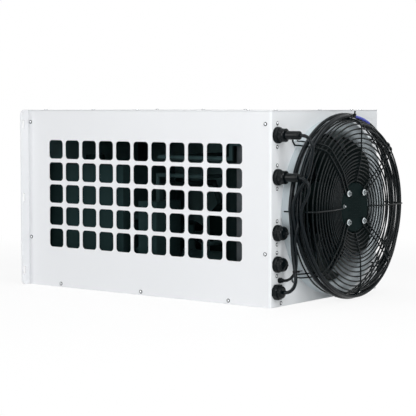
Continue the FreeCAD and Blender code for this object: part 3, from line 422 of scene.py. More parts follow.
def makePerforatedPanel():
    form = panelForm
    low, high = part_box("perforated_panel")
    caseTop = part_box("top_cover")[1].z
    half = form["opening"] / 2
    opening = roundedOutline(half, half, form["corner"], form["cornerSteps"])
    loops = [[(low.x, low.z), (high.x, low.z), (high.x, high.z), (low.x, high.z)]]
    for column in range(form["columns"]):
        for row in range(form["rows"]):
            x = faceX - form["fromFan"] - column * form["pitch"]
            z = caseTop - form["fromTop"] - row * form["pitch"]
            loops.append([(x + u, z + v) for u, v, angle in opening])
    curve = bpy.data.curves.new("perforated_outline", "CURVE")
    curve.dimensions = "2D"
    curve.fill_mode = "BOTH"
    curve.extrude = (high.y - low.y) / 2
    for loop in loops:
        spline = curve.splines.new("POLY")
        spline.points.add(len(loop) - 1)
        for item, (x, z) in zip(spline.points, loop):
            item.co = (x, z, 0.0, 1.0)
        spline.use_cyclic_u = True
    holder = bpy.data.objects.new("perforated_outline", curve)
    flat = bpy.data.meshes.new_from_object(holder)
    middle = (low.y + high.y) / 2
    points = [Vector((v.co.x, middle - v.co.z, v.co.y)) for v in flat.vertices]
    faces = [tuple(polygon.vertices) for polygon in flat.polygons]
    bpy.data.objects.remove(holder)
    bpy.data.curves.remove(curve)
    bpy.data.meshes.remove(flat)
    panel = meshPiece("near_panel", (points, faces), nearPaint,
                      standsFor=["perforated_panel"])
    soft = panel.modifiers.new("edge_round", "BEVEL")
    soft.width = form["edgeRound"]
    soft.segments = 2
    soft.limit_method = "ANGLE"
    soft.angle_limit = math.radians(50)
    even = panel.modifiers.new("flat_faces", "WEIGHTED_NORMAL")
    even.weight = 100
    even.keep_sharp = True


makePerforatedPanel()
print("near panel made")


# Screws, as low domed heads with a hexagon recess, on the seats of the CAD heads, with painted shade as a
# dark ring round each dome and a dark hexagon in its recess

screwForm = dict(
    dome=0.64, recess=0.30, recessDepth=0.55, recessShadeFloor=0.38, ringHeight=0.34, gap=0.0001,
)


def buttonHead(seat, axis, size, height):  # the dome and the walls of its recess
    r = size / 2 * screwForm["dome"]
    hollow = r * screwForm["recess"]
    level = height * screwForm["recessDepth"]
    profile = [(0, 0), (0, r), (0.42 * height, r), (0.70 * height, 0.88 * r), (0.90 * height, 0.68 * r),
               (height, 0.50 * r), (height, hollow + screwForm["gap"]), (level, hollow), (level, 0)]
    return turned(profile, seat, axis, steps=24)


def screwShadeCollar(seat, axis, size, height):  # painted shade: a dark ring below the dome, where the shadow round the head falls
    r = size / 2
    inner = r * screwForm["dome"] + screwForm["gap"]
    top = height * screwForm["ringHeight"]
    profile = [(0, inner), (0, r * 0.97), (top * 0.3, r), (top * 0.7, r), (top, r * 0.93), (top, inner)]
    return turned(profile, seat, axis, steps=36, ring=True)


def recessShadeFloor(seat, axis, size, height):  # painted shade: a dark hexagon that stands for the shaded recess in the dome
    r = size / 2 * screwForm["dome"] * screwForm["recessShadeFloor"]
    low, level = height * 0.5, height * 0.97
    return turned([(low, 0), (low, r * 0.9), (level, r), (level, 0)], seat, axis, steps=6)


def makeScrews(name, node, axisOf):
    heads = []
    collars = []
    floors = []
    for low, high in solidBoxes(node):
        middle = (low + high) / 2
        axis = axisOf(middle)
        size = max(high[i] - low[i] for i in range(3) if abs(axis[i]) < 0.5)
        height = sum((high[i] - low[i]) for i in range(3) if abs(axis[i]) > 0.5)
        seat = middle - Vector(axis) * (height / 2)
        heads.append(buttonHead(seat, axis, size, height))
        collars.append(screwShadeCollar(seat, axis, size, height))
        floors.append(recessShadeFloor(seat, axis, size, height))
    meshPiece(name, joined(heads), screwSteel, standsFor=[node])
    # painted shade: the dark ring round each dome
    meshPiece(name + "_shade_collar", joined(collars), screwShadeRing)
    # painted shade: the dark hexagon in each recess
    meshPiece(name + "_recess", joined(floors), recessShade)


makeScrews("side_heads", "side_screws", lambda middle: (0, 1 if middle.y > 0 else -1, 0))
makeScrews("top_heads", "top_screws", lambda middle: (0, 0, 1))
makeScrews("face_heads", "face_screws", lambda middle: (1, 0, 0))


boltForm = dict(
    washerThick=0.0012, washer=0.0140, washerEdge=0.0003, head=0.0108, headHeight=0.0040, shank=0.0040,
    widerThan=0.012, guardShank=0.0038,
)


def hexBolt(seat, washer):  # washer, chamfered hexagon and its round top
    form = boltForm
    low, edge = form["washerThick"], form["washerEdge"]
    top = low + form["headHeight"]
    chamfer, dimple = low + form["headHeight"] * 0.82, low + form["headHeight"] * 0.86
    r = form["head"] / 2
    rim = washer / 2
    plate = turned([(0, 0), (0, rim - edge), (edge, rim), (low - 0.0002, rim), (low, rim - edge), (low, 0)],
                   seat, steps=36)
    bolt = turned([(low, 0), (low, r), (chamfer, r), (top, r * 0.86), (top, 0)], seat, steps=6)
    crown = turned([(top, 0), (top, r * 0.5), (dimple, r * 0.38), (dimple, 0)], seat, steps=24)
    return plate, [bolt, crown]


def makeBolts():
    form = boltForm
    washers = []
    forms = []
    for low, high in solidBoxes("motor_bolts"):
        middle = (low + high) / 2
        if high.y - low.y > form["widerThan"]:  # a bolt; the narrow one is the small centre pin
            seat = Vector((high.x - form["washerThick"] - form["headHeight"], middle.y, middle.z))
            plate, head = hexBolt(seat, min(high.y - low.y, form["washer"]))
            washers.append(plate)
            forms += head
            reach, r = low.x - seat.x, form["shank"]
            forms.append(turned([(reach, 0), (reach, r), (0, r), (0, 0)], seat, steps=24))
        else:
            size = (high.y - low.y) / 2
            reach = high.x - low.x
            forms.append(turned([(0, 0), (0, size), (reach * 0.3, size), (reach * 0.36, size * 0.7),
                                 (reach * 0.8, size * 0.7), (reach, size * 0.5), (reach, 0)],
                                (low.x, middle.y, middle.z), steps=24))
    meshPiece("motor_bolt_heads", joined(forms), boltSteel, standsFor=["motor_bolts"])
    meshPiece("motor_bolt_washers", joined(washers), zinc)
    forms = []
    for low, high in solidBoxes("guard_screws"):
        middle = (low + high) / 2
        size = (high.y - low.y) / 2
        reach = high.x - low.x
        foot, shank = reach / 2, form["guardShank"]
        profile = [(0, 0), (0, shank), (foot, shank), (foot, size - 0.0003), (foot + 0.0003, size),
                   (foot + 0.0012, size), (foot + 0.0013, size * 0.66), (foot + 0.0026, size * 0.62),
                   (reach, size * 0.45), (reach, 0.0016), (reach - 0.0012, 0.0012), (reach - 0.0012, 0)]
        forms.append(turned(profile, (low.x, middle.y, middle.z), steps=36))
    meshPiece("guard_screw_heads", joined(forms), zinc, standsFor=["guard_screws"])


makeBolts()
print("screws and bolts made")


# Wall ring with a rounded mouth

shroudForm = dict(throat=0.176, mouth=0.014, wall=0.002, reach=0.022, depth=0.046, steps=144, curveSteps=12)


def makeShroud():
    form = shroudForm
    radius = (shroudHigh.z - shroudLow.z) / 2
    throat, mouth, wall, reach = form["throat"], form["mouth"], form["wall"], form["reach"]
    front = []
    behind = []
    for step in range(form["curveSteps"] + 1):
        angle = math.pi / 2 * step / form["curveSteps"]
        front.append((reach - mouth + mouth * math.sin(angle), throat + mouth - mouth * math.cos(angle)))
        behind.append((reach - mouth + (mouth - wall) * math.sin(angle),
                       throat + mouth - (mouth - wall) * math.cos(angle)))
    profile = [(-form["depth"], throat), *front, (reach, radius - 0.0012), (reach - 0.0004, radius - 0.0003),
               (reach - 0.0012, radius), (0, radius), (0, radius - wall), (reach - wall, radius - wall),
               *reversed(behind), (-form["depth"], throat + wall)]
    ringForm = turned(profile, fanCentre, steps=form["steps"], ring=True)
    meshPiece("fan_mouth_ring", ringForm, shroudSteel, standsFor=["fan_shroud"])


makeShroud()
print("shroud made")


# Guard of round wires

guardForm = dict(
    wire=0.00175, ring=0.0018, ringSteps=120, ringSides=10, ringGap=0.0002, cornerEase=0.006,
    reach=0.082, crown=0.0015, flat=0.044, rise=0.028, shoulder=0.184, bend=0.0115,
    sideRadius=0.202, sideFrom=0.069, taper=0.196, back=0.0125, eyeReach=0.0099, pinHalf=0.0065,
    motorFace=0.066, hookRadius=0.047, discRadius=0.058,
    innerRing=0.062, closePitch=0.0082, wideFrom=0.120, widePitch=0.0109,
    sideRings=5, firstRing=0.065, lastRing=0.030,
)


def guardSide(along):  # radius of the tapered side
    return guardForm["sideRadius"] + guardForm["taper"] * (guardForm["sideFrom"] - along)


def guardProfile():  # from the motor outward, as (along, radius)
    form = guardForm
    return [
        (form["motorFace"] + form["wire"], form["hookRadius"]),
        (form["motorFace"] + form["wire"], form["discRadius"] - 0.001),
        (form["reach"] - form["crown"], form["shoulder"] - form["flat"] - form["rise"]),
        (form["reach"], form["shoulder"] - form["flat"]),
        (form["reach"], form["shoulder"]),
        (form["reach"] - 0.004, form["shoulder"] + form["bend"]),
        (form["sideFrom"], form["sideRadius"]),
    ]


def guardFront(radius):  # how far ahead the front wires are at a radius
    line = guardProfile()
    for (x0, r0), (x1, r1) in zip(line, line[1:]):
        if r0 <= radius <= r1:
            return x0 + (x1 - x0) * (radius - r0) / (r1 - r0)
    return line[0][0]


def guardRing(along, radius):
    wire, sides = guardForm["ring"], guardForm["ringSides"]
    profile = []
    for k in range(sides):
        angle = 2 * math.pi * k / sides
        profile.append((along + wire * math.cos(angle), radius + wire * math.sin(angle)))
    return turned(profile, fanCentre, steps=guardForm["ringSteps"], ring=True)


def makeGuardRings():
    form = guardForm
    seat = form["wire"] + form["ring"] + form["ringGap"]
    radii = [form["innerRing"]]
    while radii[-1] < form["shoulder"]:
        radii.append(radii[-1] + (form["closePitch"] if radii[-1] < form["wideFrom"] else form["widePitch"]))
    rings = [guardRing(guardFront(radius) - seat, radius) for radius in radii]
    first, last = form["firstRing"], form["lastRing"]
    for k in range(form["sideRings"]):
        along = first + (last - first) * k / (form["sideRings"] - 1)
        rings.append(guardRing(along, guardSide(along) - seat))
    meshPiece("guard_ring_wires", joined(rings), wireBlack, standsFor=["guard_rings"])


def hairpinLine(angle):  # two legs with a round hook at the motor and an eye at the foot
    form = guardForm
    half = form["pinHalf"]
    out = Vector((0, math.cos(angle), math.sin(angle)))
    turn = Vector((0, -math.sin(angle), math.cos(angle)))
    foot = guardSide(form["back"]) + form["eyeReach"]
    leg = [*guardProfile(), (form["back"], guardSide(form["back"])), (2 * form["wire"], foot - 0.0105),
           (form["wire"], foot - 0.008), (form["wire"], foot)]
    loop = []
    for end, way in ((-1, 1), (0, -1)):
        line = [fanPoint(along, radius, angle) + turn * (way * half) for along, radius in leg]
        loop += eased(line, form["cornerEase"])[::way]
        for step in range(1, 12):
            a = math.pi * step / 12
            loop.append(fanPoint(*leg[end], angle) + (turn * math.cos(a) + out * math.sin(a)) * (way * half))
    return loop


def singleLine(angle):
    form = guardForm
    start = form["discRadius"] + 0.0025
    line = [(guardFront(start), start)] + [p for p in guardProfile() if p[1] > start]
    line.append((form["back"], guardSide(form["back"])))
    return eased([fanPoint(along, radius, angle) for along, radius in line], form["cornerEase"])


def makeGuardWires():
    pins = [hairpinLine(math.pi / 4 + math.pi / 2 * k) for k in range(4)]
    singles = [singleLine(math.pi / 2 * k) for k in range(4)]
    linkPiece("guard_hairpins", barCurve("guard_hairpins", guardForm["wire"], pins, closed=True), wireBlack,
              standsFor=["guard_wires"])
    linkPiece("guard_single_wires", barCurve("guard_single_wires", guardForm["wire"], singles), wireBlack)


makeGuardRings()
makeGuardWires()
print("guard made")


# Fan wheel and the ribs on the motor's face. The blades start in degrees and sweep in radians.

bladeForm = dict(
    count=5, start=18.0, chord=0.092, chordRoot=0.72, chordGrowth=0.42, rise=0.040, riseFall=0.42,
    thickness=0.0024, edgeShare=0.3, sweep=0.62, bow=0.0032, lift=0.004, root=0.0686, tip=0.1725,
    band=(-0.024, 0.030), bandInner=0.0662, bandOuter=0.069, stations=16, across=12,
)
ribForm = dict(count=9, pitch=0.0058, halfWidth=0.027, halfThick=0.0009, height=0.0009, edge=0.0003)


def bladeForms(startAngle):
    form = bladeForm
    stations, across = form["stations"], form["across"]
    points = []
    for side in (1, -1):
        for i in range(stations):
            share = i / (stations - 1)
            radius = form["root"] + (form["tip"] - form["root"]) * share
            chord = form["chord"] * (form["chordRoot"] + form["chordGrowth"] * share)
            rise = form["rise"] * (1.0 - form["riseFall"] * share)
            sweep = startAngle + form["sweep"] * share * share
            for k in range(across + 1):
                part = k / across
                angle = sweep + (part - 0.5) * chord / radius
                middle = form["lift"] + rise * (0.5 - part) + form["bow"] * math.sin(math.pi * part)
                full = form["edgeShare"] + (1 - form["edgeShare"]) * math.sin(math.pi * part) ** 0.5
                half = form["thickness"] / 2 * full
                points.append(fanPoint(middle + side * half, radius, angle))
    width = across + 1
    under = stations * width
    faces = []
    for i in range(stations - 1):
        for k in range(across):
            a, b = i * width + k, (i + 1) * width + k
            faces.append((a, b, b + 1, a + 1))
            faces.append((under + a, under + a + 1, under + b + 1, under + b))
        for k in (0, across):
            a, b = i * width + k, (i + 1) * width + k
            faces.append((a, under + a, under + b, b))
    for i in (0, stations - 1):
        for k in range(across):
            a = i * width + k
            faces.append((a, a + 1, under + a + 1, under + a))
    return points, faces


def makeFanWheel():
    form = bladeForm
    back, front = form["band"]
    inner, outer = form["bandInner"], form["bandOuter"]
    profile = [(back, inner), (back, outer), (front - 0.001, outer), (front, outer - 0.001), (front, inner)]
    band = turned(profile, fanCentre, steps=96, ring=True)
    first = math.radians(form["start"])
    blades = [bladeForms(first + 2 * math.pi * k / form["count"]) for k in range(form["count"])]
    meshPiece("fan_wheel", joined([band, *blades]), bladeBlack, body="fan_rotor",
              standsFor=["fan_blades"])


def bevelledBox(centre, half, edge):
    work = bmesh.new()
    corners = []
    for signs in itertools.product((-1, 1), repeat=3):
        corners.append(work.verts.new([centre[i] + signs[i] * half[i] for i in range(3)]))
    for face in ((0, 1, 3, 2), (4, 6, 7, 5), (0, 4, 5, 1), (2, 3, 7, 6), (0, 2, 6, 4), (1, 5, 7, 3)):
        work.faces.new([corners[i] for i in face])
    bmesh.ops.bevel(work, geom=list(work.edges), offset=edge, segments=2, affect="EDGES")
    work.verts.ensure_lookup_table()
    work.verts.index_update()
    form = [v.co.copy() for v in work.verts], [tuple(v.index for v in f.verts) for f in work.faces]
    work.free()
    return form


def makeMotorRibs():
    form = ribForm
    face = faceX + guardForm["motorFace"]
    ribs = []
    for k in range(form["count"]):
        z = fanCentre.z + (k - (form["count"] - 1) / 2) * form["pitch"]
        ribs.append(bevelledBox((face + form["height"] / 2, fanCentre.y, z),
                                (form["height"] / 2, form["halfWidth"], form["halfThick"]), form["edge"]))
    meshPiece("motor_face_ribs", joined(ribs), motorBlack)


makeFanWheel()
makeMotorRibs()
print("fan wheel made")


# Round connectors: sockets, coupling rings, plugs and dust caps

plugForm = dict(
    socket=0.0185, socketRibs=36, neck=0.0105, ringThick=0.009, grip=0.0250, plug=0.015, barrel=0.0098,
    play=0.0003, knurls=30, knurlDepth=0.0009, grooveFrom=0.0125, grooveTo=0.005, groovePitch=0.0034,
    capRadius=0.016, capRibs=24, capReach=0.0308, knob=0.0043,
)


def socketForm(place):
    form = plugForm
    r, neck, thick = form["socket"], form["neck"], form["ringThick"]
    profile = [(-0.016, 0), (-0.016, neck), (0, neck), (0, r), (0.0022, r), (0.0026, r - 0.0007),
               (0.0032, r - 0.0007), (0.0036, r), (0.0062, r, 1), (0.0076, r - 0.0008, 1),
               (thick, r - 0.003), (thick, neck + 0.001), (thick - 0.001, neck), (thick - 0.001, 0)]
    return turned(profile, place, steps=144, ribs=form["socketRibs"], depth=0.0006)


def couplingRing(place):
    form = plugForm
    start = form["ringThick"] + form["play"]
    end = form["grip"]
    inner = form["plug"] - 0.0042
    r = form["plug"]
    profile = [(start, inner), (start, r - 0.0007), (start + 0.0007, r), (start + 0.0012, r, 1),
               (end - 0.0064, r, 1), (end - 0.0058, r - 0.0008), (end - 0.0044, r - 0.0008),
               (end - 0.0038, r), (end - 0.0014, r), (end, r - 0.0014), (end, inner)]
    return turned(profile, place, steps=180, ring=True, ribs=form["knurls"], depth=form["knurlDepth"])


def plugBarrel(place, reach):
    form = plugForm
    start = form["grip"] + form["play"]
    r = form["barrel"]
    core = form["plug"] - 0.0045
    profile = [(form["ringThick"] + form["play"], 0), (form["ringThick"] + form["play"], core),
               (start, core), (start, r), (start + 0.0002, r)]
    groove = reach - form["grooveFrom"]
    while groove < reach - form["grooveTo"]:
        profile += [(groove - 0.0002, r), (groove, r), (groove + 0.0004, r - 0.0004),
                    (groove + 0.0011, r - 0.0004), (groove + 0.0015, r), (groove + 0.0017, r)]
        groove += form["groovePitch"]
    profile += [(reach - 0.0032, r), (reach - 0.0016, r - 0.0006), (reach - 0.0002, r - 0.0020),
                (reach, r - 0.0026), (reach, 0.0042), (reach - 0.0008, 0.0040), (reach - 0.0008, 0)]
    return turned(profile, place, steps=96)


def dustCap(place):
    form = plugForm
    start = form["ringThick"] + form["play"]
    end = form["capReach"]
    r, knob = form["capRadius"], form["knob"]
    profile = [(start, 0), (start, r - 0.0006), (start + 0.0006, r, 1), (start + 0.0078, r, 1),
               (start + 0.0086, r - 0.0004), (start + 0.0104, r - 0.0010), (start + 0.0126, r - 0.0030),
               (end - 0.0085, r - 0.0080), (end - 0.0078, r - 0.0098), (end - 0.0068, knob - 0.0008),
               (end - 0.0055, knob - 0.0010), (end - 0.0044, knob - 0.0001), (end - 0.0028, knob),
               (end - 0.0012, knob - 0.0010), (end, knob - 0.0026), (end, 0)]
    return turned(profile, place, steps=144, ribs=form["capRibs"], depth=0.0008)


def makeConnectors():
    places = []
    for low, high in solidBoxes("sockets"):
        places.append(Vector((faceX, (low.y + high.y) / 2, (low.z + high.z) / 2)))
    places.sort(key=lambda place: -place.z)
    meshPiece("panel_sockets", joined([socketForm(p) for p in places]), plugBlack,
              standsFor=["sockets"])
    for k in (1, 2):
        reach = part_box(f"plug_body_{k}")[1].x - faceX
        meshPiece(f"coupling_ring_knurled_{k}", couplingRing(places[k - 1]), plugBlack,
                  body=f"coupling_ring_{k}", standsFor=[f"plug_ring_{k}"])
        meshPiece(f"plug_barrel_{k}", plugBarrel(places[k - 1], reach), plugBlack,
                  standsFor=[f"plug_body_{k}"])
    for k in (3, 4):
        meshPiece(f"dust_cap_domed_{k}", dustCap(places[k - 1]), plugBlack, body=f"screw_cap_{k}",
                  standsFor=[f"dust_cap_{k}"])


glandForms = {
    "small_gland": dict(sides=8, ribs=12, bore=0.0033),
    "large_gland": dict(sides=8, ribs=16, bore=0.0041),
}


def makeGland(node):  # nut, ribbed dome round the cable and shank
    form = glandForms[node]
    sides, bore = form["sides"], form["bore"]
    low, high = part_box(node)
    place = Vector((faceX, (low.y + high.y) / 2, (low.z + high.z) / 2))
    reach = high.x - faceX
    across = (high.y - low.y) / 2
    corner = across / math.cos(math.pi / sides)
    nutEnd = reach * 0.6
    r = across * 0.84
    nut = turned([(0, 0), (0, corner - 0.0004), (0.0004, corner), (nutEnd - 0.0010, corner),
                  (nutEnd, corner - 0.0012), (nutEnd, 0)], place, steps=sides, start=math.pi / sides)
    dome = turned([(nutEnd - 0.0002, 0), (nutEnd - 0.0002, r), (nutEnd + 0.0002, r, 1),
                   (reach - 0.0030, r, 1), (reach - 0.0016, r * 0.93), (reach - 0.0004, r * 0.80),
                   (reach, r * 0.70), (reach, bore + 0.0004), (reach - 0.0012, bore), (reach - 0.0012, 0)],
                  place, steps=96, ribs=form["ribs"], depth=r * 0.06)
    shank = turned([(-0.012, 0), (-0.012, across * 0.54), (0, across * 0.54), (0, 0)], place, steps=32)
    meshPiece(node + "_nut", joined([nut, dome, shank]), plugBlack, standsFor=[node])


makeConnectors()
for name in glandForms:
    makeGland(name)
print("connectors made")


# Two cables wound round the guard. Route points are in millimetres: ahead of the fan face, across and up.

cableForm = dict(
    lead=dict(diameter=0.008, first=178, last=-170, length=1.74),
    signal=dict(diameter=0.0065, first=183, last=-516, length=2.90),
    perTurn=18, turnsFrom=221, rear=(0.024, 0.027, 0.027, 0.047), room=0.0003, floorRoom=0.0006,
    leadLane=0.0040, leadShift=0.0083, signalLane=0.0200, signalShift=0.0067, dip=0.0070,
    lastTurn=400, lastRise=0.012,
)
leadOut = [(20, -206, 35), (30, -206, 35.3), (39.8, -205.5, 39.6), (47.6, -204.6, 48),
           (51.2, -203.4, 58.9), (50.3, -202.2, 71.9), (46.7, -200.7, 87.5), (42.8, -199.2, 105),
           (39.3, -198, 123.5), (37.3, -197, 142), (36.2, -196.3, 161), (34.3, -195.9, 179.5),
           (32.8, -195.9, 197.5), (31.7, -196.3, 214)]
leadIn = [(62, -203, 385), (71, -203, 385), (81.5, -203, 381.2), (89.9, -203, 372.6),
          (93.8, -202.4, 361.3), (92.9, -201, 348.3), (88.5, -198.5, 332.9), (82.7, -195.2, 316.9),
          (75.7, -192, 300.3), (66.8, -191.3, 284.6), (57, -194, 269.8), (49, -198, 255),
          (43.2, -199.8, 239.5), (40.8, -200.2, 223), (40.7, -198, 206.5), (41.7, -194.4, 191)]
signalOut = [(12, -194, 60), (20, -194, 60.5), (29.5, -194, 64.5), (37, -193.5, 71.5), (42, -192.5, 80.5),
             (44.5, -191.5, 92), (44.8, -191, 106), (44, -191.5, 121), (43.2, -193, 136),
             (43.8, -195, 151), (46.9, -197.4, 165), (49.9, -195.8, 178), (49.6, -191.5, 191)]
signalIn = [(58, -203, 291.5), (66, -203, 291.5), (75.4, -203, 288.1), (82.4, -203, 281),
            (85.7, -203, 271.5), (84.5, -202.6, 260.6), (78.4, -201.4, 248), (70, -199.7, 235.6),
            (63, -198.3, 222.4), (59.7, -196.4, 206.7), (60, -193.2, 188.7), (62.8, -187.5, 170),
            (64.8, -181.5, 152)]


def around(angle, sides):  # a smooth value round the fan through its far, top, near and bottom values
    far, top, near, bottom = sides
    middle = (far + top + near + bottom) / 4
    twice = (far + near - top - bottom) / 4
    value = middle + twice * math.cos(2 * angle)
    return value + (far - near) / 2 * math.cos(angle) + (top - bottom) / 2 * math.sin(angle)


# A lane is a strand's place ahead of the rear of the bundle after so many degrees; both are called alike

def leadLane(turnedBy, angle):
    return cableForm["leadLane"] + cableForm["leadShift"] * turnedBy / 360


def signalLane(turnedBy, angle):
    form = cableForm
    lane = form["signalLane"] + form["signalShift"] * turnedBy / 360
    lane -= form["dip"] * min(1.0, 1 + math.cos(angle))
    if turnedBy > form["lastTurn"]:
        lane += form["lastRise"] * max(0.0, math.cos(angle)) ** 2
    return lane


def turnPoints(lane, cable):
    form = cableForm
    count = round((cable["first"] - cable["last"]) / 360 * form["perTurn"])
    points = []
    for step in range(count + 1):
        degrees = cable["first"] + (cable["last"] - cable["first"]) * step / count
        angle = math.radians(degrees)
        along = around(angle, form["rear"]) + lane(form["turnsFrom"] - degrees, angle)
        radius = guardSide(along) + guardForm["wire"] + form["room"] + cable["diameter"] / 2
        down = -math.sin(angle)
        if down > 0.05:  # the strand stays above the floor
            lowest = (fanCentre.z - form["floorRoom"] - cable["diameter"] / 2) / down
            radius = min(radius, lowest)
        points.append(fanPoint(along, radius / math.cos(math.pi / form["perTurn"]), angle))
    return points


def fromFace(points):
    return [Vector((faceX + x / 1000, y / 1000, z / 1000)) for x, y, z in points]


def cableCurve(name, points, radius):
    curve = roundCurve(name, radius)
    spline = curve.splines.new("NURBS")
    spline.points.add(len(points) - 1)
    for item, point in zip(spline.points, points):
        item.co = (*point, 1.0)
    spline.order_u = 3
    spline.use_endpoint_u = True
    spline.resolution_u = 8
    return curve


def cableLine(points):  # the points along the bare spline
    bare = cableCurve("bare_line", points, 0.0)
    holder = bpy.data.objects.new("bare_line", bare)
    mesh = bpy.data.meshes.new_from_object(holder)
    line = [vertex.co.copy() for vertex in mesh.vertices]
    bpy.data.objects.remove(holder)
    bpy.data.meshes.remove(mesh)
    bpy.data.curves.remove(bare)
    return line


def windCable(name, out, turns, back, cable, standsFor):
    points = fromFace(out) + turns + list(reversed(fromFace(back)))
    piece = linkPiece(name, cableCurve(name, points, cable["diameter"] / 2), cableBlack,
                      standsFor=standsFor)
    line = cableLine(points)
    print(name, "length", round(sum((b - a).length for a, b in zip(line, line[1:])), 3))
    return line


leadTurns = turnPoints(leadLane, cableForm["lead"])
signalTurns = turnPoints(signalLane, cableForm["signal"])
leadLine = windCable("lead_cable", leadOut, leadTurns, leadIn, cableForm["lead"],
                     ["lead_turns", "lead_out", "lead_in"])
signalLine = windCable("signal_cable", signalOut, signalTurns, signalIn, cableForm["signal"],
                       ["signal_turns", "signal_out", "signal_in"])
print("cables wound")


# Cable ties and a blue marker sleeve

tieForm = dict(
    width=0.0034, thick=0.0011, room=0.0002, headHalf=(0.0028, 0.0028, 0.0024), headEdge=0.0005,
    topAngle=87, topTail=(-0.002, 0.005, 0.009), lowHeight=0.083, lowBefore=-0.185,
    lowTail=(0.006, 0.006, 0.002),
)
sleeveForm = dict(first=86, last=66, room=0.0002)


def crossings(line, degrees):  # where a cable's line passes an angle about the fan axis
    found = []
    for a, b in zip(line, line[1:]):
        gapA = (fanAngle(a) - degrees + 180) % 360 - 180
        gapB = (fanAngle(b) - degrees + 180) % 360 - 180
        if gapA * gapB <= 0 and abs(gapA - gapB) < 90:
            share = gapA / (gapA - gapB) if gapA != gapB else 0.0
            found.append(a + (b - a) * share)
    return found


def strapLoop(centre, across, up, halfAcross, halfUp):  # a flat band round a bundle
    wide = across.cross(up).normalized()
    corner = min(halfAcross, halfUp) * 0.9
    outline = roundedOutline(halfAcross, halfUp, corner, 6)
    points = []
    for u, v, angle in outline:
        place = centre + across * u + up * v
        out = across * math.cos(angle) + up * math.sin(angle)
        for thick, side in ((0, -1), (0, 1), (tieForm["thick"], 1), (tieForm["thick"], -1)):
            points.append(place + out * thick + wide * (side * tieForm["width"] / 2))
    count = len(outline)
    faces = []
    for i in range(count):
        j = (i + 1) % count
        for k in range(4):
            m = (k + 1) % 4
            faces.append((4 * i + k, 4 * i + m, 4 * j + m, 4 * j + k))
    return points, faces


def tieHead(place, tailTo):  # the small block of the lock and the short tail
    head = bevelledBox(place, tieForm["headHalf"], tieForm["headEdge"])
    way = (tailTo - place).normalized()
    side = way.cross(forward).normalized() * (tieForm["thick"] / 2)
    wide = forward * (tieForm["width"] / 2)
    points = []
    for end in (place, tailTo):
        for s, w in ((-1, -1), (1, -1), (1, 1), (-1, 1)):
            points.append(end + side * s + wide * w)
    faces = [(0, 1, 2, 3), (4, 7, 6, 5)] + [(k, (k + 1) % 4, 4 + (k + 1) % 4, 4 + k) for k in range(4)]
    return [head, (points, faces)]


def makeTopTie():  # round the passes of the signal cable at the top
    angle = math.radians(tieForm["topAngle"])
    out = Vector((0, math.cos(angle), math.sin(angle)))
    spots = [(p, cableForm["signal"]["diameter"] / 2) for p in crossings(signalLine, tieForm["topAngle"])]
    low = min(p.x - r for p, r in spots)
    high = max(p.x + r for p, r in spots)
    inner = min((p - fanCentre).dot(out) - r for p, r in spots)
    outer = max((p - fanCentre).dot(out) + r for p, r in spots)
    room = tieForm["room"]
    centre = fanCentre + out * ((inner + outer) / 2)
    centre.x = (low + high) / 2
    band = strapLoop(centre, forward, out, (high - low) / 2 + room, (outer - inner) / 2 + room)
    head = centre + out * ((outer - inner) * 0.35)
    head.x = high + room + tieForm["headHalf"][0]
    tail = head + Vector(tieForm["topTail"])
    meshPiece("top_cable_tie", joined([band, *tieHead(head, tail)]), tieBlack)


def makeLowTie():  # round both cables above the glands
    height = tieForm["lowHeight"]
    spots = []
    for line, cable in ((leadLine, "lead"), (signalLine, "signal")):
        for a, b in zip(line, line[1:]):
            if (a.z - height) * (b.z - height) <= 0 and a.z != b.z and a.y < tieForm["lowBefore"]:
                crossing = a + (b - a) * ((height - a.z) / (b.z - a.z))
                spots.append((crossing, cableForm[cable]["diameter"] / 2))
                break
    (first, r1), (second, r2) = spots
    across = (second - first).normalized()
    up = Vector((0, 0, 1)).cross(across).normalized()
    span = (second - first).length + r1 + r2
    centre = first + across * ((second - first).length + r2 - r1) / 2
    band = strapLoop(centre, across, up, span / 2 + tieForm["room"], max(r1, r2) + tieForm["room"])
    front = up if up.x > 0 else -up
    head = centre + front * (max(r1, r2) + tieForm["headHalf"][0] + tieForm["room"])
    tail = head + Vector(tieForm["lowTail"])
    meshPiece("low_cable_tie", joined([band, *tieHead(head, tail)]), tieBlack)


def makeSleeve():  # on the signal cable where it passes the top the last time
    later = signalLine[len(signalLine) // 2:]
    stretch = [point for point in later if sleeveForm["last"] <= fanAngle(point) <= sleeveForm["first"]]
    radius = cableForm["signal"]["diameter"] / 2 + sleeveForm["room"]
    linkPiece("marker_sleeve", barCurve("marker_sleeve", radius, [stretch]), blueSleeve)


makeTopTie()
makeLowTie()
makeSleeve()
print("ties and sleeve made")


# Floor, light and camera

floorForm = dict(
    size=12.0, below=0.0006, color=(0.95, 0.955, 0.96), roughness=0.8,
    shadowShare=0.12, fadeFrom=0.7, fadeTo=1.5,
)
lampForms = {
    "key_light": dict(power=18.5, place=(-1.25, -2.5, 1.05), target=(0, 0, 0.25), size=(0.9, 1.9)),
    "side_light": dict(power=23.0, place=(1.4, -2.5, 1.2), target=(0.35, 0.1, 0.2), size=(0.5, 1.6)),
    "front_light": dict(power=30.0, place=(2.2, -0.9, 1.6), target=(0.40, 0, 0.25), size=(0.4, 2.2)),
    "top_light": dict(power=25.0, place=(0.2, 0.0, 3.0), target=(0, 0, 0.2), size=(1.6, 1.6)),
}
worldForm = dict(color=(0.96, 0.98, 1.0), strength=0.20)
cameraForm = dict(lens=125.58, sensor=36.0, ahead=1.8434, across=-2.8520, up=0.4501, down=4.032, turn=37.563)


def plainlySeen(tree):  # 1 where the camera, a mirror or glass sees the background, 0 where it gives light
    path = tree.nodes.new("ShaderNodeLightPath")
    either = mathNode(tree, "MAXIMUM", path.outputs["Is Camera Ray"], path.outputs["Is Glossy Ray"])
    return mathNode(tree, "MAXIMUM", either, path.outputs["Is Transmission Ray"])


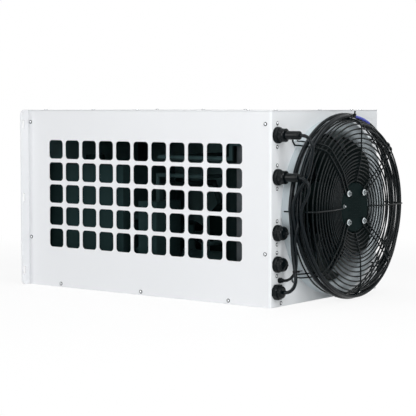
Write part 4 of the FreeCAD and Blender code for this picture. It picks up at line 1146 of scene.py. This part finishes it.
def makeFloor():  # white, with a share of its shadow that fades away from the object
    form = floorForm
    half = form["size"] / 2
    z = -form["below"]
    mesh = bpy.data.meshes.new("floor")
    corners = [(-half, -half, z), (half, -half, z), (half, half, z), (-half, half, z)]
    mesh.from_pydata(corners, [], [(0, 1, 2, 3)])
    floor = bpy.data.objects.new("floor", mesh)
    bpy.context.scene.collection.objects.link(floor)
    material = shader("floor_white", form["color"], form["roughness"], specular=0.1)
    tree = material.node_tree
    output = tree.nodes["Material Output"]
    surface = tree.nodes["Principled BSDF"]
    white = tree.nodes.new("ShaderNodeEmission")
    place = tree.nodes.new("ShaderNodeTexCoord")
    away = tree.nodes.new("ShaderNodeVectorMath")
    away.operation = "LENGTH"
    fade = tree.nodes.new("ShaderNodeMapRange")
    fade.inputs["From Min"].default_value = form["fadeFrom"]
    fade.inputs["From Max"].default_value = form["fadeTo"]
    fade.inputs["To Min"].default_value = 1.0 - form["shadowShare"]
    fade.inputs["To Max"].default_value = 1.0
    mix = tree.nodes.new("ShaderNodeMixShader")
    link(place, "Object", away, 0)
    link(away, "Value", fade, "Value")
    tree.links.new(mathNode(tree, "MULTIPLY", plainlySeen(tree), fade.outputs["Result"]), mix.inputs[0])
    link(surface, "BSDF", mix, 1)
    link(white, "Emission", mix, 2)
    link(mix, "Shader", output, "Surface")
    mesh.materials.append(material)


def makeLamp(name):
    form = lampForms[name]
    data = bpy.data.lights.new(name, "AREA")
    data.shape = "RECTANGLE"
    data.size, data.size_y = form["size"]
    data.energy = form["power"]
    light = bpy.data.objects.new(name, data)
    light.location = form["place"]
    view = Vector(form["target"]) - Vector(form["place"])
    light.rotation_euler = view.to_track_quat("-Z", "Y").to_euler()
    bpy.context.scene.collection.objects.link(light)


def makeWorld():
    world = bpy.data.worlds.new("studio")
    world.use_nodes = True
    bpy.context.scene.world = world
    tree = world.node_tree
    tree.nodes.clear()
    output = tree.nodes.new("ShaderNodeOutputWorld")
    seen = tree.nodes.new("ShaderNodeBackground")
    seen.inputs["Color"].default_value = (1, 1, 1, 1)
    seen.inputs["Strength"].default_value = 1.0
    lit = tree.nodes.new("ShaderNodeBackground")
    lit.inputs["Color"].default_value = (*worldForm["color"], 1)
    lit.inputs["Strength"].default_value = worldForm["strength"]
    mix = tree.nodes.new("ShaderNodeMixShader")
    tree.links.new(plainlySeen(tree), mix.inputs[0])
    link(lit, 0, mix, 1)
    link(seen, 0, mix, 2)
    link(mix, 0, output, "Surface")


def makeCamera():
    form = cameraForm
    data = bpy.data.cameras.new("photo_camera")
    data.sensor_width = form["sensor"]
    data.lens = form["lens"]
    camera = bpy.data.objects.new("photo_camera", data)
    camera.location = (faceX + form["ahead"], form["across"], form["up"])
    camera.rotation_euler = (math.radians(90 - form["down"]), 0, math.radians(form["turn"]))
    bpy.context.scene.collection.objects.link(camera)
    bpy.context.scene.camera = camera


makeFloor()
for name in lampForms:
    makeLamp(name)
makeWorld()
makeCamera()
bpy.context.scene.view_settings.view_transform = "Standard"
print("light and camera set")
